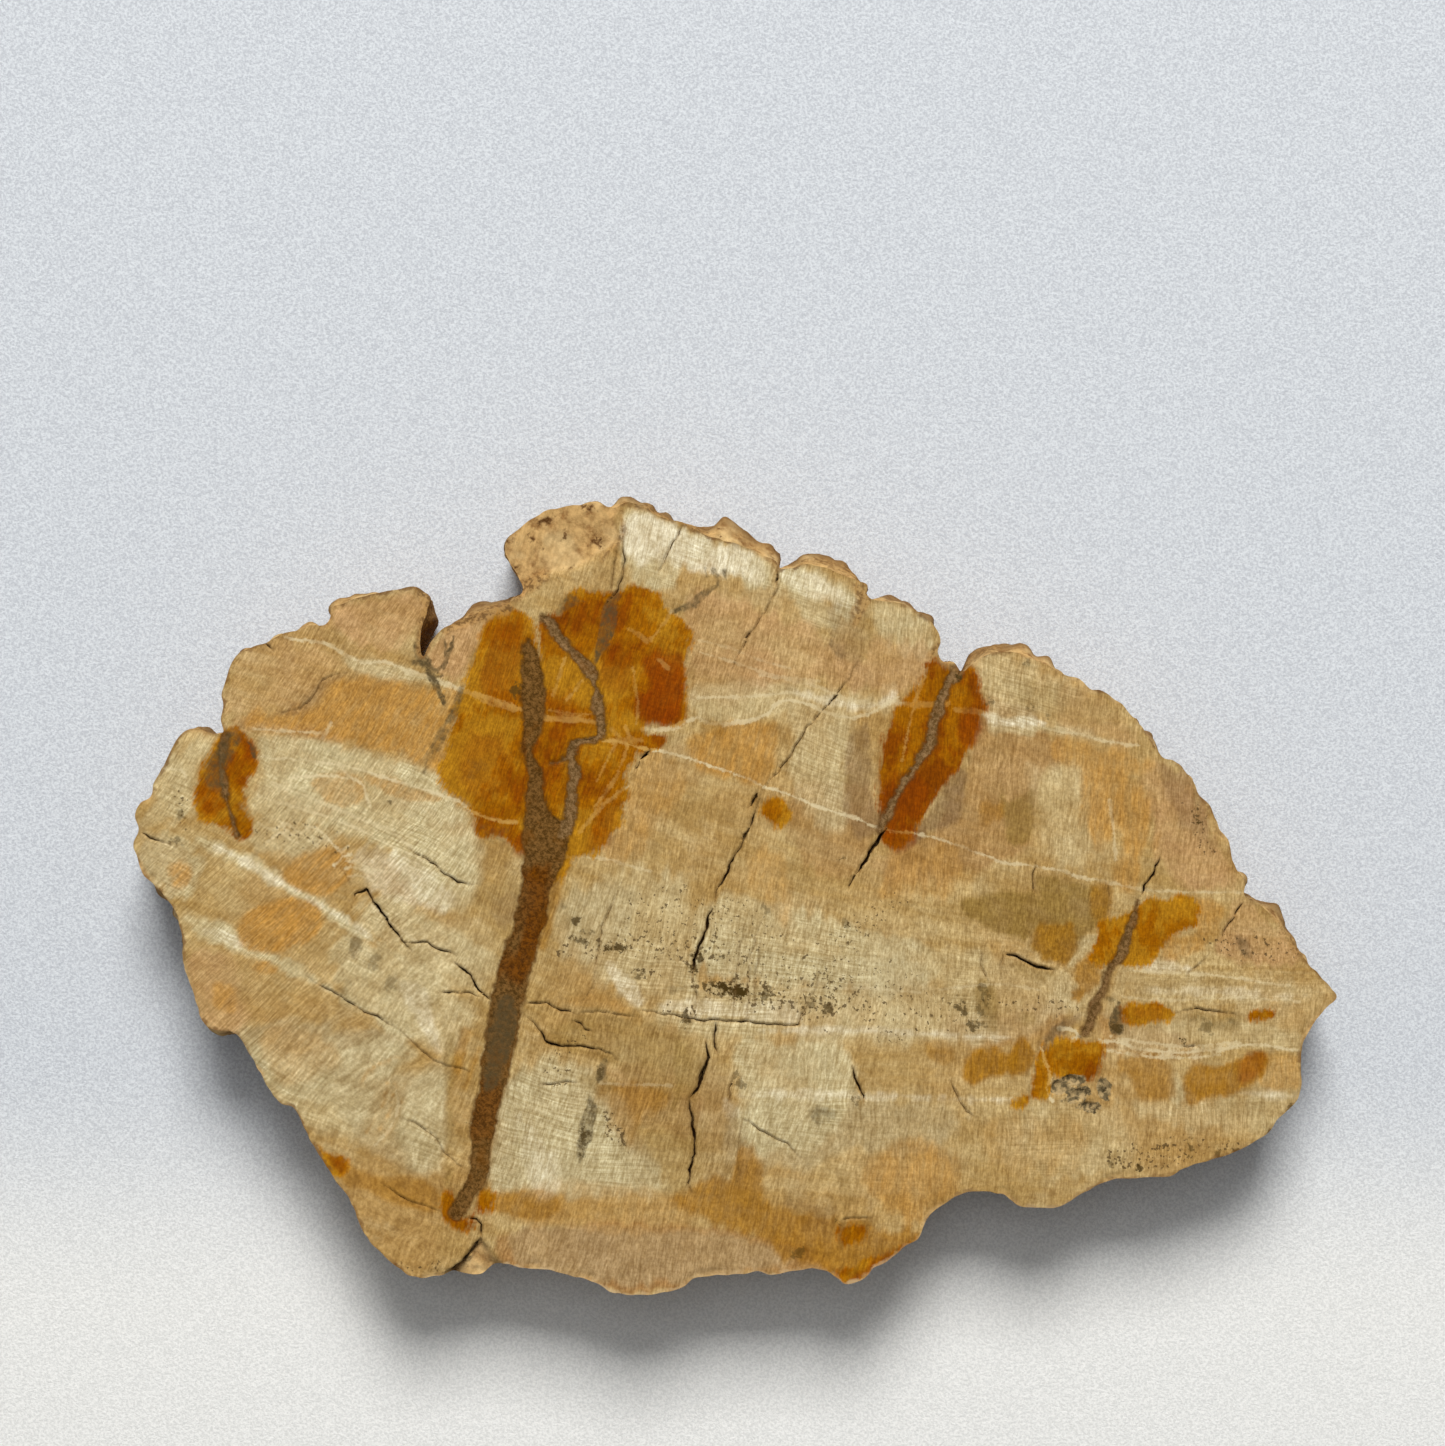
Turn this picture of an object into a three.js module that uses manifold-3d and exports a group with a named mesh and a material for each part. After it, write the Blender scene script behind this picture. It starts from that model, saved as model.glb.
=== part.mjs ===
// A petrified wood slice: one flat slab sawn across a fossil log, lying on its back.
// Millimetres, +Z up. The polished saw cut is the top, the rough outside of the log is the rim,
// and the origin is under the middle of the slab, on the surface that it lies on.
import * as THREE from "three";
import { mergeVertices } from "three/addons/utils/BufferGeometryUtils.js";
import Module from "manifold-3d";

// Driving sizes.
const FACE_WIDTH = 150; // left tip to right tip of the sawn face
const THICKNESS = 15; // sawn face to sawn back
const SCALLOP = 0.09; // the fine nibbled edge of the saw cut, either way
const LUMP_DEPTH = 1; // how far the weathered rim swells and sinks
const RIDGE_DEPTH = 0.45; // the ridges that the grain leaves down the rim
const CRUMB_DEPTH = 0.3; // the crumbling between the ridges
const UNDERCUT = 1.1; // how far the lower rim falls back under the face
const BACK_CHAMFER = 0.8; // the rounded bottom edge of the rim
const VEIN_RECESS = 0.25; // the agate vein stands a little below the polish
const GAP_DEPTH = 5; // the gaping crack near the lower edge
const CRACK_DEPTH = 2.5; // the long thin cracks
const CORNER_DROP = 1.4; // the unpolished, broken corner at the top
const CHIP_DROP = 2.2; // the flake lost at the lower edge
const POCKET_DEPTH = 1.3; // the crystal pocket

// The face was traced by eye on the photograph. A trace unit is one of its pixels, x to the
// right and y down, and this many of them span FACE_WIDTH.
const TRACE_SPAN = 1202;
const TRACE_MIDDLE = [732.8, 894.6];
const UNIT = FACE_WIDTH / TRACE_SPAN;

// The edge of the sawn face, anticlockwise from the right tip. The third number is how far the
// rough rim stands out beyond the saw cut there.
const FACE_EDGE = [
  // right tip and the scalloped upper right side
  [1336, 997, 1], [1328, 984, 2], [1304, 958, 7], [1283, 927, 8], [1259, 904, 4], [1248, 898, 1],
  [1244, 893, 0], [1245, 885, 2], [1242, 877, 2], [1235, 867, 1], [1229, 842, 2], [1220, 829, 1],
  [1209, 804, 2], [1199, 795, 1], [1193, 782, 2], [1174, 761, 2], [1163, 757, 1], [1144, 730, 2],
  [1123, 706, 2], [1100, 690, 1], [1091, 689, 1], [1081, 680, 1], [1065, 675, 1], [1031, 657, 1],
  [1020, 653, 1], [997, 652, 2],
  // the upper right lobe and the cleft beside it
  [985, 655, 5], [970, 666, 2], [962, 671, 0], [953, 662, 1], [946, 664, 0], [940, 658, 0],
  [937, 651, 0], [940, 642, 1], [938, 633, 1], [930, 621, 1], [918, 612, 1], [901, 604, 1],
  [872, 599, 0], [867, 593, 1],
  // two top lobes whose bark stands out behind the cut
  [867, 585, 3], [858, 581, 5], [840, 574, 9], [827, 569, 11], [816, 566, 9], [806, 564, 5],
  [798, 566, 1], [780, 569, 0], [777, 562, 3], [768, 557, 9], [757, 552, 12], [735, 544, 22],
  [722, 540, 26], [711, 537, 25], [701, 532, 17], [692, 527, 10], [683, 523, 6], [660, 517, 12],
  [640, 505, 5], [630, 502, 4],
  // the broken corner
  [612, 507, 1], [596, 503, 1], [548, 510, 1], [535, 516, 1], [506, 540, 1], [504, 549, 1],
  [508, 561, 1], [515, 571, 0],
  // the ledge and the cleft behind the upper left lobe
  [522, 589, 5], [518, 597, 8], [508, 604, 9], [466, 618, 11], [440, 631, 1], [432, 640, 0],
  [423, 656, 0], [420, 645, 2], [424, 620, 17], [428, 608, 12], [430, 600, 6], [425, 593, 3],
  [416, 587, 1],
  // upper left lobes
  [378, 593, 1], [340, 604, 1], [331, 609, 1], [330, 618, 1], [324, 625, 1], [308, 626, 1],
  [296, 631, 1], [284, 633, 1], [268, 642, 1], [243, 651, 1], [234, 660, 1], [224, 684, 1],
  [222, 696, 1], [223, 709, 1], [221, 720, 0], [223, 732, 0], [213, 734, 1], [200, 730, 1],
  [188, 730, 2], [180, 736, 2], [154, 784, 2], [149, 798, 2], [140, 803, 2],
  // left end and the ledge below it
  [135, 815, 2], [138, 829, 2], [134, 843, 2], [137, 859, 3], [144, 876, 3], [155, 885, 2],
  [167, 899, 2], [176, 914, 2], [184, 947, 3], [183, 962, 3], [188, 981, 3], [195, 996, 3],
  [199, 1013, 3], [206, 1026, 8], [219, 1031, 12], [231, 1031, 16], [240, 1038, 9], [246, 1047, 1],
  // lower left side
  [270, 1090, 0], [279, 1102, 0], [292, 1107, 0], [301, 1120, 0], [313, 1145, 0], [352, 1205, 1],
  [361, 1227, 1], [370, 1242, 1], [384, 1256, 2], [411, 1276, 2], [424, 1278, 1],
  // lower edge
  [452, 1274, 0], [482, 1275, 0], [494, 1265, 0], [506, 1264, 0], [523, 1268, 0], [543, 1269, 0],
  [601, 1285, 0], [611, 1292, 0], [664, 1293, 0], [684, 1286, 0], [696, 1278, 0], [750, 1273, 0],
  [758, 1271, 0], [768, 1274, 0], [815, 1269, 0], [830, 1273, 0], [845, 1284, 0], [858, 1281, 0],
  [868, 1275, 0], [874, 1267, 0], [886, 1262, 0], [903, 1248, 0], [919, 1238, 0], [927, 1219, 0],
  [956, 1197, 0], [967, 1192, 0], [1001, 1194, 0], [1018, 1205, 0], [1037, 1208, 0],
  [1061, 1206, 0], [1076, 1197, 0], [1113, 1180, 0], [1172, 1175, 0], [1183, 1168, 0],
  [1234, 1152, 0], [1260, 1138, 0], [1271, 1130, 0], [1278, 1119, 0], [1297, 1102, 0],
  [1301, 1086, 0], [1301, 1062, 0], [1304, 1041, 0], [1322, 1013, 0],
];

// Open cracks, each with its half width at every point.
const GAP = [
  [706, 1042, 0.7], [710, 1059, 2.6], [703, 1078, 2.8], [696, 1092, 2], [690, 1099, 2],
  [691, 1122, 2.2], [695, 1141, 3], [692, 1160, 1.8], [687, 1183, 1.6], [692, 1192, 0.7],
];
const LONG_CRACK = [
  [764, 786, 1], [756, 804, 1.6], [744, 836, 1.6], [724, 877, 2], [711, 910, 2.2],
  [700, 945, 2.6], [693, 980, 1.6],
];
const TOP_CRACK = [
  [777, 567, 1.4], [777, 586, 1.6], [766, 606, 1.2], [754, 630, 1.8], [743, 645, 1.2],
  [728, 680, 0.7],
];

// The trunk of the agate vein, with its half width at every point.
const VEIN = [
  [528, 632, 3], [529, 650, 7], [532, 680, 11], [532, 705, 11], [529, 735, 9], [531, 757, 6],
  [532, 783, 9], [534, 812, 12], [543, 838, 18], [540, 866, 17], [532, 900, 15], [522, 940, 15],
  [510, 985, 15], [502, 1040, 14], [494, 1085, 13], [484, 1130, 12], [479, 1165, 9],
  [466, 1194, 9], [459, 1211, 7],
];

// Outlines of the two places where the polish is missing.
const BROKEN_CORNER = [
  [624, 490], [618, 520], [623, 542], [616, 556], [598, 556], [588, 564], [562, 574], [544, 580],
  [536, 590], [524, 598], [500, 590], [490, 560], [495, 520], [530, 495], [580, 488],
];
const CHIP = [
  [479, 1235], [486, 1246], [496, 1258], [508, 1266], [500, 1290], [430, 1290], [441, 1274],
  [455, 1265], [465, 1258], [472, 1246],
];
// Middle, half sizes and turn in degrees of each hollow that makes up the crystal pocket.
const POCKET = [[1060, 1087, 12, 8, 10], [1078, 1095, 15, 8, 25], [1100, 1088, 7, 11, 15]];
// Middle and half sizes of the rock that closes the upper left cleft below the saw cut.
const CLEFT_FILL = [431, 636, 15, 19];
const CLEFT_FILL_TOP = 2.4; // below the saw cut

const EDGE_STEPS = 380; // samples round the rim
const RIM_LEVELS = [0, 0.04, 0.12, 0.26, 0.44, 0.63, 0.82, 0.95, 1]; // shares of the way down
const ROOM_SHARE = 0.38; // of the clear way across a cleft that one wall may fill

const toPart = ([x, y]) =>
  new THREE.Vector2((x - TRACE_MIDDLE[0]) * UNIT, (TRACE_MIDDLE[1] - y) * UNIT);

// A smooth made-up bumpiness between -1 and 1: two crossed waves of one size, bent by a third.
function wobble(x, y, z, size) {
  const turn = (2 * Math.PI) / size;
  const bend = Math.sin(turn * (0.31 * x - 0.47 * y + 0.25 * z) + 2.1);
  const across = Math.sin(turn * (0.92 * x + 0.39 * y + 0.18 * z) + 1.7 * bend);
  const along = Math.sin(turn * (-0.45 * x + 0.89 * y + 0.29 * z) + 1.3 * bend + 4.2);
  return (across + along) / 2;
}

// Samples of the face edge: where each is, how far the rim flares, which way is out, and how
// far it is straight out to the next wall of rock across a cleft.
function edgeSamples() {
  const marks = FACE_EDGE.map(([x, y, flare]) => {
    const at = toPart([x, y]);
    return new THREE.Vector3(at.x, at.y, flare * UNIT);
  });
  const curve = new THREE.CatmullRomCurve3(marks, true, "centripetal");
  const dots = curve.getSpacedPoints(EDGE_STEPS).slice(0, EDGE_STEPS);
  const samples = dots.map((dot, i) => {
    const before = dots[(i + EDGE_STEPS - 1) % EDGE_STEPS];
    const after = dots[(i + 1) % EDGE_STEPS];
    const along = new THREE.Vector2(after.x - before.x, after.y - before.y).normalize();
    const out = new THREE.Vector2(along.y, -along.x);
    const at = new THREE.Vector2(dot.x, dot.y);
    return { at: at.addScaledVector(out, SCALLOP * wobble(dot.x, dot.y, 0, 2.9)), flare: dot.z, out };
  });
  for (const sample of samples) {
    sample.room = Infinity;
    for (const other of samples) {
      const way = other.at.clone().sub(sample.at);
      const straightOut = way.dot(sample.out) > 0.5 * way.length();
      if (straightOut && way.dot(other.out) < 0) sample.room = Math.min(sample.room, way.length());
    }
  }
  return samples;
}

// How far the rim stands out from the face edge at a share of the way down.
function rimReach(sample, share) {
  const { x, y } = sample.at;
  const z = -share * THICKNESS;
  const shoulder = THREE.MathUtils.smoothstep(share, 0, 0.33);
  const toe = THREE.MathUtils.smoothstep(share, 0.8, 1);
  const lower = THREE.MathUtils.smoothstep(-y, 5, 25);
  const lumps = LUMP_DEPTH * wobble(x, y, 0.8 * z, 21);
  const ridges = RIDGE_DEPTH * wobble(x, y, 0.15 * z, 5.2);
  const crumbs = CRUMB_DEPTH * wobble(x, y, 0.9 * z, 3.7);
  const bulk = sample.flare * (1 - 0.35 * toe) - UNDERCUT * lower + lumps;
  const reach = bulk * shoulder + (ridges + crumbs) * Math.min(1, 6 * share) - BACK_CHAMFER * toe;
  return Math.min(reach, ROOM_SHARE * sample.room);
}

// The slab: one ring of samples for each level of the rim, capped by the face and the back.
function slabGeometry() {
  const samples = edgeSamples();
  const positions = [];
  const rings = RIM_LEVELS.map((share) =>
    samples.map((sample) => {
      const spot = sample.at.clone().addScaledVector(sample.out, share ? rimReach(sample, share) : 0);
      positions.push(spot.x, spot.y, THICKNESS * (1 - share));
      return spot;
    }),
  );
  const index = [];
  for (let level = 0; level < rings.length - 1; level++) {
    for (let i = 0; i < EDGE_STEPS; i++) {
      const next = (i + 1) % EDGE_STEPS;
      const [a, b] = [level * EDGE_STEPS + i, level * EDGE_STEPS + next];
      const [c, d] = [a + EDGE_STEPS, b + EDGE_STEPS];
      index.push(a, c, b, b, c, d);
    }
  }
  const last = EDGE_STEPS * (rings.length - 1);
  for (const [a, b, c] of THREE.ShapeUtils.triangulateShape(rings[0], [])) index.push(a, b, c);
  for (const [a, b, c] of THREE.ShapeUtils.triangulateShape(rings.at(-1), [])) {
    index.push(last + a, last + c, last + b);
  }
  const geometry = new THREE.BufferGeometry();
  geometry.setAttribute("position", new THREE.Float32BufferAttribute(positions, 3));
  return geometry.setIndex(index);
}

// A straight-sided cutter over an outline, from a depth below the face to above it.
function cutter(outline, depth) {
  const shape = new THREE.Shape(outline);
  const geometry = new THREE.ExtrudeGeometry(shape, { depth: depth + 2, bevelEnabled: false });
  return geometry.translate(0, 0, THICKNESS - depth);
}

// The outline of a line with a half width at each point: down one side and back up the other.
function ribbonOutline(marks) {
  const spine = marks.map(toPart);
  const side = (sign) =>
    spine.map((at, i) => {
      const after = spine[Math.min(i + 1, spine.length - 1)];
      const along = after.clone().sub(spine[Math.max(i - 1, 0)]).normalize();
      const out = new THREE.Vector2(along.y, -along.x);
      return at.clone().addScaledVector(out, sign * marks[i][2] * UNIT);
    });
  return [...side(1), ...side(-1).reverse()];
}

// A block with a bumpy underside that deepens to the left, to break a rough floor out of the face.
function bumpyBlock(outline, drop) {
  const box = new THREE.Box2().setFromPoints(outline);
  const size = box.getSize(new THREE.Vector2());
  const middle = box.getCenter(new THREE.Vector2());
  const [across, up] = [Math.ceil(size.x / 1.1), Math.ceil(size.y / 1.1)];
  const geometry = new THREE.BoxGeometry(size.x, size.y, drop + 2, across, up, 1);
  geometry.translate(middle.x, middle.y, THICKNESS - drop + (drop + 2) / 2);
  const spots = geometry.attributes.position;
  for (let i = 0; i < spots.count; i++) {
    if (spots.getZ(i) > THICKNESS) continue;
    const [x, y] = [spots.getX(i), spots.getY(i)];
    const rise = 0.6 * THREE.MathUtils.smoothstep(x, box.min.x, box.max.x);
    const bumps = 0.14 * wobble(x, y, 3, 3.1) + 0.12 * wobble(x, y, 7, 5.7) + 0.1 * wobble(y, x, 1, 8.3);
    spots.setZ(i, spots.getZ(i) + drop * (rise + bumps));
  }
  return geometry;
}

const wasm = await Module();
wasm.setup();

function solidFrom(geometry) {
  const bare = geometry.clone();
  bare.deleteAttribute("normal");
  bare.deleteAttribute("uv");
  const merged = mergeVertices(bare, 1e-4);
  return new wasm.Manifold(
    new wasm.Mesh({
      numProp: 3,
      vertProperties: new Float32Array(merged.attributes.position.array),
      triVerts: new Uint32Array(merged.index.array),
    }),
  );
}

function geometryFrom(solid) {
  const { vertProperties, triVerts } = solid.getMesh();
  const geometry = new THREE.BufferGeometry();
  geometry.setAttribute("position", new THREE.BufferAttribute(vertProperties, 3));
  geometry.setIndex(new THREE.BufferAttribute(triVerts, 1));
  const flat = geometry.toNonIndexed();
  flat.computeVertexNormals();
  return flat;
}

function ballSolid([x, y, across, up, turn = 0], middleHeight, halfHeight) {
  const at = toPart([x, y]);
  const ball = new THREE.IcosahedronGeometry(1, 2);
  ball.scale(across * UNIT, up * UNIT, halfHeight);
  ball.rotateZ(THREE.MathUtils.degToRad(turn));
  return solidFrom(ball.translate(at.x, at.y, middleHeight));
}

function brokenPatch(marks, drop) {
  const outline = marks.map(toPart);
  return solidFrom(bumpyBlock(outline, drop)).intersect(solidFrom(cutter(outline, 2 * drop)));
}

function sliceSolid() {
  const fillTop = THICKNESS - CLEFT_FILL_TOP;
  let rock = solidFrom(slabGeometry());
  rock = rock.add(ballSolid(CLEFT_FILL, fillTop / 2, fillTop / 2));
  rock = rock.subtract(solidFrom(cutter(ribbonOutline(VEIN), VEIN_RECESS)));
  rock = rock.subtract(brokenPatch(BROKEN_CORNER, CORNER_DROP));
  rock = rock.subtract(brokenPatch(CHIP, CHIP_DROP));
  rock = rock.subtract(solidFrom(cutter(ribbonOutline(GAP), GAP_DEPTH)));
  rock = rock.subtract(solidFrom(cutter(ribbonOutline(LONG_CRACK), CRACK_DEPTH)));
  rock = rock.subtract(solidFrom(cutter(ribbonOutline(TOP_CRACK), CRACK_DEPTH)));
  for (const hollow of POCKET) rock = rock.subtract(ballSolid(hollow, THICKNESS, POCKET_DEPTH));
  return rock;
}

const stone = new THREE.MeshStandardMaterial({ color: 0xd2a972, roughness: 0.55, metalness: 0 });
const slice = new THREE.Mesh(geometryFrom(sliceSolid()), stone);
slice.name = "petrified_wood_slice";

const part = new THREE.Group();
part.add(slice);
export default part;
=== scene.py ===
# %% [markdown]
# # A slice of petrified wood
#
# The object is one slab of agatized wood, sawn across the log. Silica has replaced the wood cell by
# cell, so rings and rays still show on the polished cut, with amber agate, a grey vein and cracks.
# The slab lies on its sawn back and the camera looks straight down on the polished face. The packed
# solid gives the frame, the thickness and the place. This script makes the one visible piece again
# with a much finer surface, and paints it with a procedural stone material.

# %% Frame
import math

import bpy
import numpy as np
from mathutils.geometry import delaunay_2d_cdt
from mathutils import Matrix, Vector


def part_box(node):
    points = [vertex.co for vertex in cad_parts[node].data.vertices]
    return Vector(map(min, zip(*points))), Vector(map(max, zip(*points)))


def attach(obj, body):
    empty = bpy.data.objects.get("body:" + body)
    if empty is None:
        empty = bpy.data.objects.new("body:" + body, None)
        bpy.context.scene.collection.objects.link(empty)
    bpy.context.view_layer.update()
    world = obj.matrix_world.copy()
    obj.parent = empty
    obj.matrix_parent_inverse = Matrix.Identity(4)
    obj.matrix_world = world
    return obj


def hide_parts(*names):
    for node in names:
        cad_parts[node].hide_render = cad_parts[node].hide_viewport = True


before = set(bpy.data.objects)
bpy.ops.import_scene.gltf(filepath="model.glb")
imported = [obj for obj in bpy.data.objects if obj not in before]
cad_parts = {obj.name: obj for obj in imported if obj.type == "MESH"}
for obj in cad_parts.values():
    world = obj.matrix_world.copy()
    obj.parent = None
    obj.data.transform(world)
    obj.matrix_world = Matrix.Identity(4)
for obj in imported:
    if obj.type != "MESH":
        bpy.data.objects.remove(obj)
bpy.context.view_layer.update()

BOX_LOW, BOX_HIGH = (np.array(c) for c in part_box("petrified_wood_slice"))
THICK = float(BOX_HIGH[2] - BOX_LOW[2])
print("box in mm", np.round((BOX_HIGH - BOX_LOW) * 1000, 2))

# %% [markdown]
# Places on the face are named by where they are seen on the photograph, x to the right and y down,
# because every mark on this stone is its own. One picture unit is a fixed length on the sawn face, so
# `place` turns such a position into metres in the shared frame, and `UNIT` turns a width.

# %% Positions on the face
FACE_WIDTH = 0.150
TRACE_SPAN = 1202
TRACE_MIDDLE = np.array([732.8, 894.6])
UNIT = FACE_WIDTH / TRACE_SPAN
MM = 0.001


def place(points):
    """Metres in the frame: (x - middle x) and (middle y - y), both times UNIT."""
    p = np.asarray(points, float)
    return np.column_stack([p[:, 0] - TRACE_MIDDLE[0], TRACE_MIDDLE[1] - p[:, 1]]) * UNIT


# %% [markdown]
# Two kinds of made-up roughness are used. `wobble` is the smooth one that the solid's rim has: two
# crossed sine waves bent by a third. `crumble` is a lattice of hashed random values blended between
# its corners and summed over octaves, which gives the broken, grainy look of weathered stone.

# %% Roughness functions
def wobble(x, y, z, size):
    """(sin(across + 1.7 bend) + sin(along + 1.3 bend)) / 2, each a plane wave of that size."""
    turn = 2 * np.pi / size
    bend = np.sin(turn * (0.31 * x - 0.47 * y + 0.25 * z) + 2.1)
    across = np.sin(turn * (0.92 * x + 0.39 * y + 0.18 * z) + 1.7 * bend)
    along = np.sin(turn * (-0.45 * x + 0.89 * y + 0.29 * z) + 1.3 * bend + 4.2)
    return (across + along) / 2


def lattice(i, j, k, seed):
    """A repeatable value from 0 to 1 for each whole-number corner: integer products folded by xor."""
    h = (i * 374761393 + j * 668265263 + k * 2147483647 + seed * 974634777) & 0xFFFFFFFF
    h = ((h ^ (h >> 13)) * 1274126177) & 0xFFFFFFFF
    return ((h ^ (h >> 16)) & 0xFFFF) / 65535


def crumble(x, y, z, size, octaves=3, seed=1):
    """Sum over octaves of blended corner values, each octave half the size and half as strong."""
    total, strength, weight = np.zeros(np.shape(x)), 1.0, 0.0
    for octave in range(octaves):
        p = [np.asarray(c, float) / size + 17.3 * octave for c in (x, y, z)]
        cell = [np.floor(c).astype(np.int64) for c in p]
        f = [(c - b) for c, b in zip(p, cell)]
        f = [c * c * (3 - 2 * c) for c in f]
        value = 0
        for a in (0, 1):
            for b in (0, 1):
                for c in (0, 1):
                    share = (f[0] if a else 1 - f[0]) * (f[1] if b else 1 - f[1]) * (f[2] if c else 1 - f[2])
                    value = value + share * lattice(cell[0] + a, cell[1] + b, cell[2] + c, seed + octave)
        total, weight = total + strength * (2 * value - 1), weight + strength
        size, strength = size / 2, strength / 2
    return total / weight


def smooth(value, low, high):
    """0 below low, 1 above high, and 3t^2 - 2t^3 between."""
    t = np.clip((value - low) / (high - low), 0, 1)
    return t * t * (3 - 2 * t)


# %% [markdown]
# The edge of the sawn face is a traced line, anticlockwise from the right tip. A third number says
# how far the weathered bark stands out beyond the cut, which is what shows along the top. The curve
# through the marks is the same centripetal spline as on the solid, with finer steps.

# %% Traced edge
FACE_EDGE = np.array([
    (1336, 997, 1), (1328, 984, 2), (1304, 958, 7), (1283, 927, 8), (1259, 904, 4), (1248, 898, 1),
    (1244, 893, 0), (1245, 885, 2), (1242, 877, 2), (1235, 867, 1), (1229, 842, 2), (1220, 829, 1),
    (1209, 804, 2), (1199, 795, 1), (1193, 782, 2), (1174, 761, 2), (1163, 757, 1), (1144, 730, 2),
    (1123, 706, 2), (1100, 690, 1), (1091, 689, 1), (1081, 680, 1), (1065, 675, 1), (1031, 657, 1),
    (1020, 653, 1), (997, 652, 2), (985, 655, 5), (970, 666, 2), (962, 671, 0), (953, 662, 1),
    (946, 664, 0), (940, 658, 0), (937, 651, 0), (940, 642, 1), (938, 633, 1), (930, 621, 1),
    (918, 612, 1), (901, 604, 1), (872, 599, 0), (867, 593, 1), (867, 585, 3), (858, 581, 5),
    (840, 574, 9), (827, 569, 11), (816, 566, 9), (806, 564, 5), (798, 566, 1), (780, 569, 0),
    (777, 562, 3), (768, 557, 9), (757, 552, 12), (735, 544, 22), (722, 540, 26), (711, 537, 25),
    (701, 532, 17), (692, 527, 10), (683, 523, 6), (660, 517, 12), (640, 505, 5), (630, 502, 4),
    (612, 507, 1), (596, 503, 1), (548, 510, 1), (535, 516, 1), (506, 540, 1), (504, 549, 1),
    (508, 561, 1), (515, 571, 0), (522, 589, 5), (518, 597, 8), (508, 604, 9), (466, 618, 11),
    (440, 631, 1), (432, 640, 0), (423, 656, 0), (420, 645, 2), (424, 620, 17), (428, 608, 12),
    (430, 600, 6), (425, 593, 3), (416, 587, 1), (378, 593, 1), (340, 604, 1), (331, 609, 1),
    (330, 618, 1), (324, 625, 1), (308, 626, 1), (296, 631, 1), (284, 633, 1), (268, 642, 1),
    (243, 651, 1), (234, 660, 1), (224, 684, 1), (222, 696, 1), (223, 709, 1), (221, 720, 0),
    (223, 732, 0), (213, 734, 1), (200, 730, 1), (188, 730, 2), (180, 736, 2), (154, 784, 2),
    (149, 798, 2), (140, 803, 2), (135, 815, 2), (138, 829, 2), (134, 843, 2), (137, 859, 3),
    (144, 876, 3), (155, 885, 2), (167, 899, 2), (176, 914, 2), (184, 947, 3), (183, 962, 3),
    (188, 981, 3), (195, 996, 3), (199, 1013, 3), (206, 1026, 8), (219, 1031, 12), (231, 1031, 16),
    (240, 1038, 9), (246, 1047, 1), (270, 1090, 0), (279, 1102, 0), (292, 1107, 0), (301, 1120, 0),
    (313, 1145, 0), (352, 1205, 1), (361, 1227, 1), (370, 1242, 1), (384, 1256, 2), (411, 1276, 2),
    (424, 1278, 1), (452, 1274, 0), (482, 1275, 0), (494, 1265, 0), (506, 1264, 0), (523, 1268, 0),
    (543, 1269, 0), (601, 1285, 0), (611, 1292, 0), (664, 1293, 0), (684, 1286, 0), (696, 1278, 0),
    (750, 1273, 0), (758, 1271, 0), (768, 1274, 0), (815, 1269, 0), (830, 1273, 0), (845, 1284, 0),
    (858, 1281, 0), (868, 1275, 0), (874, 1267, 0), (886, 1262, 0), (903, 1248, 0), (919, 1238, 0),
    (927, 1219, 0), (956, 1197, 0), (967, 1192, 0), (1001, 1194, 0), (1018, 1205, 0), (1037, 1208, 0),
    (1061, 1206, 0), (1076, 1197, 0), (1113, 1180, 0), (1172, 1175, 0), (1183, 1168, 0),
    (1234, 1152, 0), (1260, 1138, 0), (1271, 1130, 0), (1278, 1119, 0), (1297, 1102, 0),
    (1301, 1086, 0), (1301, 1062, 0), (1304, 1041, 0), (1322, 1013, 0),
], float)
EDGE_STEPS = 1400


def spline(marks, closed, per_span=24):
    """Centripetal Catmull-Rom: knots at the square root of the spans, three linear blends deep."""
    m = np.asarray(marks, float)
    m = np.vstack([m[-1:], m, m[:2]]) if closed else np.vstack([2 * m[:1] - m[1:2], m, 2 * m[-1:] - m[-2:-1]])
    knots = np.concatenate([[0], np.cumsum(np.sqrt(np.linalg.norm(np.diff(m, axis=0), axis=1)) + 1e-9)])
    p = [m[i : len(m) - 3 + i] for i in range(4)]
    t = [knots[i : len(m) - 3 + i, None] for i in range(4)]
    out = []
    for share in np.arange(per_span) / per_span:
        u = t[1] + share * (t[2] - t[1])
        a = [((t[i + 1] - u) * p[i] + (u - t[i]) * p[i + 1]) / (t[i + 1] - t[i]) for i in range(3)]
        b = [((t[i + 2] - u) * a[i] + (u - t[i]) * a[i + 1]) / (t[i + 2] - t[i]) for i in range(2)]
        out.append(((t[2] - u) * b[0] + (u - t[1]) * b[1]) / (t[2] - t[1]))
    dots = np.stack(out, axis=1).reshape(-1, m.shape[1])
    return dots if closed else np.vstack([dots, m[-2:-1]])


def even_steps(dots, count, closed):
    """The same line again with points at equal arc length, every column blended in step."""
    d = np.vstack([dots, dots[:1]]) if closed else dots
    run = np.concatenate([[0], np.cumsum(np.linalg.norm(np.diff(d[:, :2], axis=0), axis=1))])
    stops = np.linspace(0, run[-1], count, endpoint=not closed)
    return np.column_stack([np.interp(stops, run, d[:, c]) for c in range(d.shape[1])])


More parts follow.
